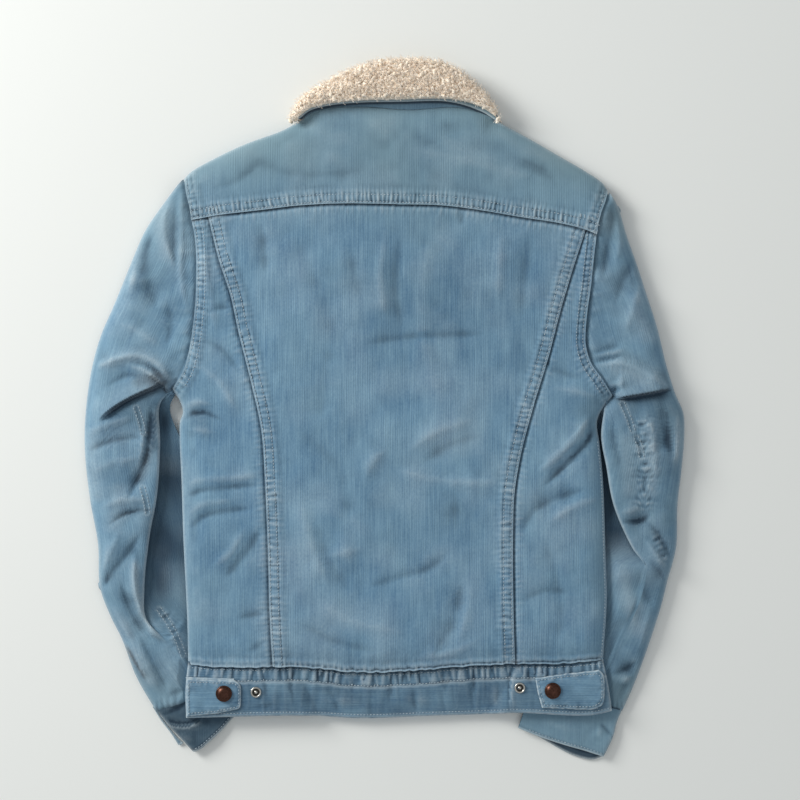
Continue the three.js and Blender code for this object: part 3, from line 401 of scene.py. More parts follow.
# Rubbing and painted highlight on the ridges, and painted shade in the hollows, of a grid of relief
def wornAndPaintedLight(relief):
    if relief.ndim < 2:
        return 0, 0
    near, far = standing(relief, 2), standing(relief, 6)
    wearAndHighlight = 0.2 * np.clip(near, 0, 1) + 0.04 * np.clip(far, 0, 2)
    return wearAndHighlight, 0.5 * np.clip(-near, 0, 1.2) + 0.1 * np.clip(-far, 0, 2)


# Gathers across a sewn line, nearly even along it
def gathers(along, away, pitch, seed):
    drift = 2.2 * softNoise(along, 0, 19, seed) + 1.3 * softNoise(along, away, 8, seed + 1)
    strength = 0.85 + 0.5 * softNoise(along, away * 0.5, 9, seed + 2)
    return strength * np.sin(2 * math.pi * along / pitch + drift + 0.08 * away)


def lengthened(line, by):
    first, last = line[0] - line[1], line[-1] - line[-2]
    return np.vstack([line[0] + first / np.linalg.norm(first) * by, line,
                      line[-1] + last / np.linalg.norm(last) * by])


# Creases listed one by one. A ridge or trough is soft on both sides; a lap stands up on the left of its
# run and drops sharply into a groove on its right.
def creaseRelief(creases, x, y):
    relief = np.zeros(np.shape(x))
    for kind, width, height, *spots in creases:
        line = dense(fromPhoto(*spots), 5)
        if kind != "lap":
            line = lengthened(line, min(0.22 * runOf(line)[-1], 7))
        away, along, side = nearLine(line, x, y, width * 4 + 6)
        length = runOf(line)[-1]
        fade = min(length * 0.3, 16) if kind == "lap" else min(length * 0.48, 26)
        ends = smooth(along / fade) * smooth((length - along) / fade)
        if kind == "lap":
            signed = away * side
            high = smooth(signed / 2.8 + 0.5)
            relief += ends * (high * height * np.exp(-np.maximum(signed, 0) / width)
                              - (1 - high) * 0.5 * height * bell(np.maximum(-signed, 0), width * 0.5))
        else:
            uneven = 1 + 0.25 * softNoise(along, width, 13, len(spots))
            relief += ends * height * uneven * crest(away, width * (0.45 + 0.6 * ends))
    return relief


# Shade under the laps
def lapShade(creases, x, y):
    shade = np.zeros(np.shape(x))
    for kind, _, height, *spots in creases:
        if kind == "lap":
            line = dense(fromPhoto(*spots), 5)
            away, along, side = nearLine(line, x, y, 20)
            length = runOf(line)[-1]
            ends = smooth(along / (0.3 * length)) * smooth((length - along) / (0.2 * length) + 0.2)
            signed = away * side
            core = 0.32 * bell(signed + 0.7, 0.9 + 0.6 * ends)
            shade += ends * height * (core + 0.1 * bell(signed, 8) * (signed < 0)
                                      + 0.04 * bell(signed, 6) * (signed > 0))
    return shade


# Outlines in millimetres, as in the part
yokeSeam = dense([(-200.7, 198), (-172, 203), (-130, 208), (-88, 213), (-47, 215), (16, 214), (57, 213),
                  (99, 208), (140, 201), (182, 194.5), (208, 188), (219.4, 183)])
shoulderLeft = dense([(-209, 242), (-201, 249.5), (-177, 263), (-145, 278), (-107, 292), (-86, 303.5)])
shoulderRight = dense([(115, 302.5), (151, 283), (182, 265), (207, 250.5), (226, 237.5), (232, 229)])
neckline = dense([(-86, 303.5), (-73, 311), (-57, 315), (-21, 316), (26, 313), (76, 315.5), (104, 308),
                  (115, 302.5)])
yokeEndLeft = dense([(-200.7, 198), (-202, 209), (-206, 225), (-209, 242)])
yokeEndRight = dense([(219.4, 183), (221.5, 195), (225, 208), (228.5, 217), (232, 229)])
armholeLeft = dense([(-221.5, 22.5), (-209, 42), (-203, 63), (-197.6, 99), (-195.5, 128), (-195.5, 160),
                     (-197.6, 184), (-200.7, 198)])
armholeRight = dense([(237, 15.5), (224, 35), (213, 51), (208, 69), (208, 84), (210, 106), (213.5, 131),
                      (216.5, 159), (219.4, 183)])
princessLeft = dense([(-116.5, -265), (-119.6, -207), (-121, -150), (-123.8, -82), (-128, -20), (-138, 27),
                      (-151, 79), (-160, 120), (-172.6, 159), (-183, 201)])
princessRight = dense([(134.7, -262.5), (133, -207), (132.5, -124), (134, -86), (140.5, -46), (154, 6),
                       (168.5, 53), (182, 105), (194.5, 147), (208, 188)])
sideLeft = dense([(-205, -263), (-206, -217), (-210, -134), (-212, -72), (-214, -26), (-213.5, -11),
                  (-210.5, -1), (-214, 11), (-221.5, 22.5)])
sideRight = dense([(227, -259), (231, -197), (229.8, -155), (227, -72), (223.6, -35), (221, -10), (229, 6),
                   (237, 15.5)])
waistLeft = dense([(-205, -263), (-178, -265), (-150, -266), (-116.5, -265)])
waistCentre = dense([(-116.5, -265), (-88, -265.5), (-36, -270.5), (-5, -271), (57, -267.5), (99, -264),
                     (134.7, -262.5)])
waistRight = dense([(134.7, -262.5), (172, -263), (200, -261.5), (227, -259)])
hem = dense([(-207, -319.5), (-151, -318), (-88, -317), (-26, -320.5), (47, -318), (108, -316), (135, -314),
             (198, -317), (219, -316), (236, -312)])
bandEndLeft = dense([(-207, -319.5), (-207.5, -290), (-205, -263)])
bandEndRight = dense([(236, -312), (233, -290), (227, -259)])


# A line with a slight waviness of its own
def gathered(line, size, amount, seed):
    return np.stack([line[:, 0], line[:, 1] + amount * softNoise(line[:, 0], 0, size, seed)], axis=1)


waistLeft, waistCentre, waistRight = (gathered(atShares(line, np.linspace(0, 1, steps)), 4.2, 0.8, 51)
                                      for line, steps in ((waistLeft, 45), (waistCentre, 120),
                                                          (waistRight, 45)))
waistLine = chain(waistLeft, waistCentre, waistRight)
freeEdges = [sideLeft, sideRight, shoulderLeft, shoulderRight]
armholes = [armholeLeft, armholeRight, yokeEndLeft, yokeEndRight]
bodyLines = {"left": chain(bandEndLeft, sideLeft), "right": chain(bandEndRight, sideRight)}

body = {
    "plane": 11.3, "edge": 10.9, "wall": 10.5, "crown": 3.2, "sideRound": 27, "cell": 1.75, "cloth": 1.5,
    "centreX": 13, "tucked": 6.4, "lift": 7.0, "neckSeam": 14.6,
}
roundSteps = (0.12, 0.5, 1.2, 2.2, 3.5, 5.1, 7.0, 9.2, 11.6, 14.3, 17.2, 20.3)
seamSteps = (0.6, 1.2, 1.9, 2.7, 3.7, 4.9, 6.2, 7.6, 9.0, 10.4, 11.8, 13.3)

# kind, width and height in mm, then the places of its run in the photograph
backCreases = [
    ("trough", 10, -1.8, (262, 225), (267, 275)),
    ("trough", 8, -1.5, (370, 343), (410, 337), (480, 334)),
    ("ridge", 9, 1.3, (402, 470), (430, 478), (480, 482), (497, 480)),
    ("ridge", 10, 1.8, (365, 480), (372, 462), (385, 450)),
    ("trough", 9, -1.8, (373, 585), (400, 576), (430, 567), (447, 553)),
    ("trough", 11, -1.4, (455, 492), (457, 530)),
    ("trough", 11, -2.4, (462, 585), (457, 610), (452, 625), (443, 640), (435, 655)),
    ("ridge", 9, 1.4, (470, 590), (466, 615), (458, 640)),
    ("ridge", 11, 1.6, (330, 555), (360, 548)),
    ("trough", 4, -1.0, (462, 207), (461, 225)),
    ("trough", 12, -1.6, (530, 235), (524, 280), (520, 320)),
    ("ridge", 10, 1.2, (500, 240), (497, 300)),
    ("ridge", 8, 2.3, (540, 470), (556, 456), (572, 440), (590, 416)),
    ("trough", 6, -3.0, (546, 484), (562, 468), (576, 454), (588, 440), (600, 424)),
    ("trough", 9, -2.2, (583, 489), (565, 495), (550, 500), (530, 515), (522, 530)),
    ("ridge", 8, 1.5, (600, 498), (575, 505), (550, 520)),
    ("ridge", 8, 1.3, (185, 486), (200, 480), (230, 478), (262, 474)),
    ("trough", 5, -1.3, (183, 498), (200, 491), (230, 487), (262, 484)),
    ("trough", 6, -1.6, (190, 527), (205, 516), (225, 511), (250, 508)),
    ("ridge", 7, 1.1, (186, 514), (204, 504), (232, 500)),
    ("trough", 9, -2.4, (262, 528), (250, 548), (240, 560), (228, 575)),
    ("ridge", 8, 1.4, (245, 528), (232, 550), (215, 565)),
    ("trough", 6, -1.5, (240, 617), (265, 612)),
    ("trough", 6, -1.3, (250, 650), (265, 642)),
    ("trough", 4, -2.0, (181, 420), (192, 414), (206, 413), (222, 420)),
    ("ridge", 6, 1.4, (182, 408), (196, 402), (212, 404)),
    ("ridge", 6, 1.2, (186, 428), (215, 432)),
    ("trough", 5, -1.4, (210, 312), (222, 308), (231, 307)),
    ("ridge", 9, 1.5, (203, 245), (212, 300), (216, 330)),
    ("trough", 6, -1.5, (205, 340), (225, 352), (240, 372)),
    ("ridge", 7, 1.3, (200, 365), (222, 385), (236, 410)),
    ("trough", 14, -1.0, (300, 240), (330, 330), (320, 420)),
    ("ridge", 16, 1.1, (430, 240), (420, 320), (440, 400)),
    ("trough", 12, -1.0, (350, 250), (360, 300)),
    ("trough", 12, -1.1, (300, 430), (340, 470), (350, 520)),
    ("ridge", 12, 1.0, (320, 600), (350, 620), (400, 630)),
    ("trough", 7, -1.3, (540, 360), (560, 372), (580, 378)),
    ("ridge", 7, 1.4, (555, 388), (578, 392), (598, 398)),
    ("trough", 8, -1.5, (520, 600), (545, 590), (570, 592)),
    ("trough", 10, -1.0, (545, 540), (560, 600), (558, 640)),
    ("trough", 10, -0.9, (250, 160), (300, 175), (360, 172)),
    ("trough", 12, -1.6, (316, 520), (330, 560), (350, 590)),
    ("ridge", 12, 1.5, (300, 500), (312, 545), (328, 585)),
    ("trough", 10, -1.5, (400, 240), (396, 290), (402, 330)),
    ("ridge", 9, 1.2, (385, 235), (380, 285), (386, 320)),
    ("ridge", 10, 1.4, (470, 420), (440, 430), (410, 448)),
    ("trough", 10, -1.4, (480, 436), (450, 446), (424, 462)),
    ("trough", 9, -1.3, (300, 622), (335, 640), (375, 650)),
    ("ridge", 8, 1.3, (475, 640), (450, 652), (420, 656)),
    ("ridge", 12, 0.9, (420, 150), (480, 165), (540, 180)),
    ("trough", 8, -1.0, (215, 190), (240, 180), (262, 160)),
    ("trough", 9, -0.9, (560, 190), (545, 175), (520, 160)),
]


def bodyLift(x, y):
    lifts = []
    for side, line in tuckedLines.items():
        edgeX = np.interp(y, line[::-1, 1], line[::-1, 0])
        over = edgeX - x if side == "left" else x - edgeX
        inside = np.where(over > 0, 24.0, -distance([line], x, y))
        upward = smooth(1 - np.maximum(0, y - line[0, 1] - 16) / 24)
        lifts.append(body["lift"] * smooth((inside + 24 + 16) / 24) * upward)
    return np.where(np.asarray(x) < body["centreX"], lifts[0], lifts[1])


# Inner edges of the sleeves and cuffs that lie under the body, from the top down
tuckedLines = {
    "left": dense([(-211, -40), (-198, -72), (-189, -134), (-182, -197), (-148, -247), (-130, -265),
                   (-112, -283), (-100, -330)]),
    "right": dense([(219, -36), (206, -92), (185, -150), (166, -210), (155, -283), (148, -305), (139, -331),
                    (135, -340)]),
}


# Upper surface of the back without its seams
def backForm(x, y):
    edge = distance(freeEdges, x, y)
    crown = body["crown"] * smooth(edge / 140)
    waist = 1 - 0.42 * bell(distance([waistLine], x, y, 60), 15)
    neck = 1 - 0.4 * bell(distance([neckline], x, y, 50), 12)
    full = body["plane"] + body["wall"] + crown - body["edge"]
    z = body["edge"] + full * rounded(edge / body["sideRound"]) * waist * neck
    return z - np.maximum(z - body["neckSeam"], 0) * (1 - rounded(distance([neckline], x, y, 30) / 6)), edge


# A seam seen from one of its pieces: relief, wear with painted highlight, and painted shade along its line,
# grooves and gathers. The lapping piece has the stitched band.
def seamMarks(line, x, y, lapping, ownSide, seed, width=10.5, pucker=0.55, pitch=5.6):
    reach = 34
    away, along, side = nearLine(line, x, y, reach)
    ripple = 0.5 * gathers(along, away, pitch, seed) + 0.5 * softNoise(along, away * 0.3, 3.1, seed + 3)
    if not lapping:
        own = np.where(away < reach, away * side * ownSide, reach)
        relief = np.where(own > 0, -1.5 * bell(own, 2.6), -1.5 + 0.35 * np.minimum(own, 0))
        relief = relief + 0.5 * ripple * bell(away - 4, 6)
        return relief, 0.12 * np.clip(ripple, 0, 1) * bell(away - 5, 4), 0.75 * bell(away, 1.5)
    band = smooth(away / 2.2) * (0.6 * smooth((width + 2.0 - away) / 4)
                                 + 0.4 * smooth((width + 12 - away) / 12))
    grooves = bell(away - 1.9, 1.0) + bell(away - (width - 1.2), 1.1)
    relief = (1.0 * (1 - smooth((away - width) / 7)) - 0.35 * bell(away, 0.7)
              + 1.5 * pucker * ripple * band - 0.6 * grooves)
    wornAndHighlighted = 0.32 * bell(away, 1.3) * (0.75 + 0.35 * ripple) + 0.4 * np.clip(ripple, 0, 1) * band
    return relief, wornAndHighlighted, 0.4 * np.clip(-ripple, 0, 1) * band + 0.15 * grooves


# Paler and darker areas of the back
paleAndDarkAreas = [
    # place in the photograph x y, reach in mm, amount: paler above 0, darker below
    (380, 165, 80, -0.12), (400, 300, 70, -0.16), (470, 300, 60, -0.12), (385, 500, 60, -0.04),
    (300, 560, 60, 0.06), (455, 515, 26, -0.18), (225, 560, 40, -0.10), (200, 419, 14, -0.35),
    (560, 300, 40, -0.08), (310, 300, 50, 0.05), (440, 600, 50, 0.05), (550, 520, 40, 0.06),
    (230, 300, 26, -0.06), (455, 420, 50, 0.06), (330, 640, 70, 0.05),
]


def backSurface(x, y, seams):
    form, edge = backForm(x, y)
    creases = 1.35 * creaseRelief(backCreases, x, y)
    rumple = 0.9 * softNoise(x, y, 58, 11) + 0.65 * softNoise(x, y, 25, 12) + 0.3 * softNoise(x, y, 11, 13)
    rumple = rumple + 0.5 * softNoise(x + 0.4 * y, 0.25 * y, 15, 16) * np.clip(softNoise(x, y, 70, 17), 0, 1)
    rumple = rumple + 0.5 * softNoise(0.22 * x, y + 0.5 * x, 13, 18) * np.clip(softNoise(x, y, 60, 19), 0, 1)
    relief = (creases + rumple) * smooth(edge / 14)
    relief = relief - 0.9 * bell(distance(armholes, x, y, 40), 7)
    # Paler on crease ridges and the free edges, partly rubbed and partly painted highlight; painted shade in
    # the creases
    wearAndHighlight = 0.05 * np.clip(creases, 0, 2) + 0.07 * softNoise(x, y, 30, 14) + 0.35 * bell(edge, 2.2)
    shade = 0.06 * np.clip(-creases, 0, 3)
    # Each seam adds relief, wear with painted highlight, and painted shade
    for line, *settings in seams:
        own, wornAndHighlighted, dark = seamMarks(line, x, y, *settings)
        relief = relief + own * smooth(edge / 5 + 0.3)
        wearAndHighlight = wearAndHighlight + wornAndHighlighted
        shade = shade + dark
    for px, py, reach, amount in paleAndDarkAreas:
        cx, cy = fromPhoto((px, py))[0]
        spot = bell(np.hypot(x - cx, y - cy), reach)
        wearAndHighlight = wearAndHighlight + np.maximum(amount, 0) * spot
        shade = shade + np.maximum(-amount, 0) * spot
    ridges, hollows = wornAndPaintedLight(relief)
    wearAndHighlight = wearAndHighlight + ridges
    shade = shade + hollows
    tint = 0.55 * smooth((y - 150) / 110) + 0.25 * bell(edge, 18) + 0.12 * softNoise(x, y, 45, 15)
    return form + relief, wearAndHighlight, shade, tint


# Meshes from grids
def gridNormals(points):
    across = np.gradient(points, axis=1)
    up = np.gradient(points, axis=0)
    normals = np.cross(across, up)
    return normals / np.maximum(np.linalg.norm(normals, axis=2), 1e-9)[:, :, None]


# A closed shell of cloth: the seen surface in full detail, its inner side in coarse steps.
def clothShell(name, points, cloth, attributes=None, uv=None, coarse=4, keepColumns=(), faceDown=False,
               inner=None):
    wearAndHighlight, shade, tint = attributes if attributes is not None else (np.zeros(points.shape[:2]),) * 3
    uv = points[:, :, :2] if uv is None else uv
    upward = gridNormals(points)[:, :, 2].mean() > 0
    if upward == faceDown:
        points, uv, wearAndHighlight, shade, tint = (a[::-1] for a in (points, uv, wearAndHighlight, shade, tint))
        inner = None if inner is None else inner[::-1]
    rows, columns = points.shape[:2]
    back = points - gridNormals(points) * cloth if inner is None else inner
    pickRows = np.unique(np.concatenate([np.arange(0, rows, coarse), [rows - 1]]))
    pickColumns = np.unique(np.concatenate([np.arange(0, columns, coarse), [columns - 1],
                                            np.array(keepColumns, int)]))
    index = np.arange(rows * columns).reshape(rows, columns)
    backShape = len(pickRows), len(pickColumns)
    backIndex = rows * columns + np.arange(backShape[0] * backShape[1]).reshape(backShape)
    faces = [np.stack([index[:-1, :-1], index[:-1, 1:], index[1:, 1:], index[1:, :-1]],
                      axis=-1).reshape(-1, 4)]
    faces.append(np.stack([backIndex[:-1, :-1], backIndex[1:, :-1], backIndex[1:, 1:], backIndex[:-1, 1:]],
                          axis=-1).reshape(-1, 4))
    triangles = []

    def hem(outer, inside, picks):
        for k in range(len(picks) - 1):
            span = outer[picks[k]:picks[k + 1] + 1]
            triangles.extend((inside[k], b, a) for a, b in zip(span[:-1], span[1:]))
            triangles.append((inside[k], inside[k + 1], span[-1]))
    hem(index[0], backIndex[0], pickColumns)
    hem(index[-1, ::-1], backIndex[-1, ::-1], columns - 1 - pickColumns[::-1])
    hem(index[::-1, 0], backIndex[::-1, 0], rows - 1 - pickRows[::-1])
    hem(index[:, -1], backIndex[:, -1], pickRows)
    picked = np.ix_(pickRows, pickColumns)
    vertices = np.vstack([points.reshape(-1, 3), back[picked].reshape(-1, 3)]) * mm
    mesh = bpy.data.meshes.new(name)
    mesh.from_pydata(vertices.tolist(), [], np.vstack(faces).tolist() + triangles)
    mesh.validate()
    mark = mesh.attributes.new("wearHighlightShadeTint", "FLOAT_COLOR", "POINT")
    values = [np.concatenate([a.ravel(), a[picked].ravel()]) for a in (wearAndHighlight, shade, tint)]
    mark.data.foreach_set("color", np.clip(np.stack(values + [np.ones(len(vertices))], axis=1), 0, 1).ravel())
    layer = mesh.uv_layers.new(name="cloth")
    corner = np.zeros(len(mesh.loops), int)
    mesh.loops.foreach_get("vertex_index", corner)
    cloth2d = np.vstack([uv.reshape(-1, 2), uv[picked].reshape(-1, 2)]) * mm
    layer.data.foreach_set("uv", cloth2d[corner].ravel())
    mesh.shade_smooth()
    mesh.set_sharp_from_angle(angle=math.radians(62))
    thing = bpy.data.objects.new(name, mesh)
    scene.collection.objects.link(thing)
    return thing


# Area of the seen surface in square metres
def clothArea(points):
    a = np.cross(points[1:, 1:] - points[:-1, :-1], points[1:, :-1] - points[:-1, 1:])
    return float(np.linalg.norm(a, axis=2).sum() / 2 * mm * mm)


def dress(thing, material, nodes):
    thing.data.materials.append(material)
    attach(thing, "root")
    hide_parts(*nodes)
    return thing


def height3(x, y, z):
    return np.stack([x, y, z * np.ones(np.shape(x))], axis=-1)


# Back: yoke, centre panel and side panels. Each laps the one below it or beside it.
def cutLine(line, fromX, toX):
    inner = line[(line[:, 0] > fromX + 0.5) & (line[:, 0] < toX - 0.5)]
    ends = [[x, np.interp(x, line[:, 0], line[:, 1])] for x in (fromX, toX)]
    return np.vstack([ends[0], inner, ends[1]])


yokeParts = [cutLine(yokeSeam, *span) for span in ((-200.7, -183), (-183, 208), (208, 219.4))]
# line, whether this piece laps, side that it lies on, seed, band width, pucker, pitch
yokeLap = (yokeSeam, True, 1, 41, 10.5, 0.6, 4.4)
yokeUnder = (yokeSeam, False, -1, 42, 10, 0.5)
princessLapLeft = (princessLeft, True, -1, 43, 11, 0.5)
princessLapRight = (princessRight, True, 1, 44, 11, 0.5)
princessUnderLeft = (princessLeft, False, 1, 45, 10, 0.5)
princessUnderRight = (princessRight, False, -1, 46, 10, 0.5)
armLapLeft = (armholeLeft, True, -1, 48, 8.5, 0.45)
armLapRight = (armholeRight, True, 1, 49, 8.5, 0.45)
yokeArmLeft = (yokeEndLeft, True, -1, 50, 8.5, 0.45)
yokeArmRight = (yokeEndRight, True, 1, 52, 8.5, 0.45)
waistLap = (waistLine, True, 1, 47, 3.2, 0.25)
panels = {
    "backYoke": {
        "node": "back_yoke", "cell": 1.15,
        "sides": (yokeEndLeft, yokeEndRight, yokeSeam, chain(shoulderLeft, neckline, shoulderRight)),
        "steps": ((roundSteps, roundSteps), (seamSteps, roundSteps)),
        "seams": [yokeLap, yokeArmLeft, yokeArmRight], "under": (),
        "flat": (0.445, 0.135), "area": 0.048,
    },
    "backCentre": {
        "node": "back_centre",
        "sides": (princessLeft, princessRight, waistCentre, yokeParts[1]),
        "steps": ((seamSteps, seamSteps), ((0.5, 1.2, 2.2), ())),
        "seams": [yokeUnder, princessLapLeft, princessLapRight, waistLap], "under": ("upper",),
        "flat": (0.392, 0.488), "area": 0.145,
    },
    "backSideLeft": {
        "node": "back_side_left",
        "sides": (chain(sideLeft, armholeLeft), princessLeft, waistLeft, yokeParts[0]),
        "steps": ((roundSteps, ()), ((0.5, 1.2, 2.2), ())),
        "seams": [yokeUnder, princessUnderLeft, waistLap, armLapLeft], "under": ("right", "upper"),
        "flat": (0.108, 0.47), "area": 0.034,
    },
    "backSideRight": {
        "node": "back_side_right",
        "sides": (princessRight, chain(sideRight, armholeRight), waistRight, yokeParts[2]),
        "steps": (((), roundSteps), ((0.5, 1.2, 2.2), ())),
        "seams": [yokeUnder, princessUnderRight, waistLap, armLapRight], "under": ("left", "upper"),
        "flat": (0.108, 0.455), "area": 0.034,
    },
}
for name, panel in panels.items():
    left, right, lower, upper = panel["sides"]
    stepsAcross, stepsUp = panel["steps"]
    longest = max(runOf(lower)[-1], runOf(upper)[-1])
    cell = panel.get("cell", body["cell"])
    across = marks(longest, cell, *stepsAcross)
    up = marks(max(runOf(left)[-1], runOf(right)[-1]), cell, *stepsUp)
    grid = patch(left, right, lower, upper, across, up)
    for side in panel["under"]:
        grid = grownUnder(grid, side)
    x, y = grid[:, :, 0], grid[:, :, 1]
    z, *markings = backSurface(x, y, panel["seams"])
    points = height3(x, y, z)
    shell = clothShell(name, points, body["cloth"], markings)
    print(name, "area", round(clothArea(points), 4), "cells", x.size)
    dress(shell, outerCloth, [panel["node"]])

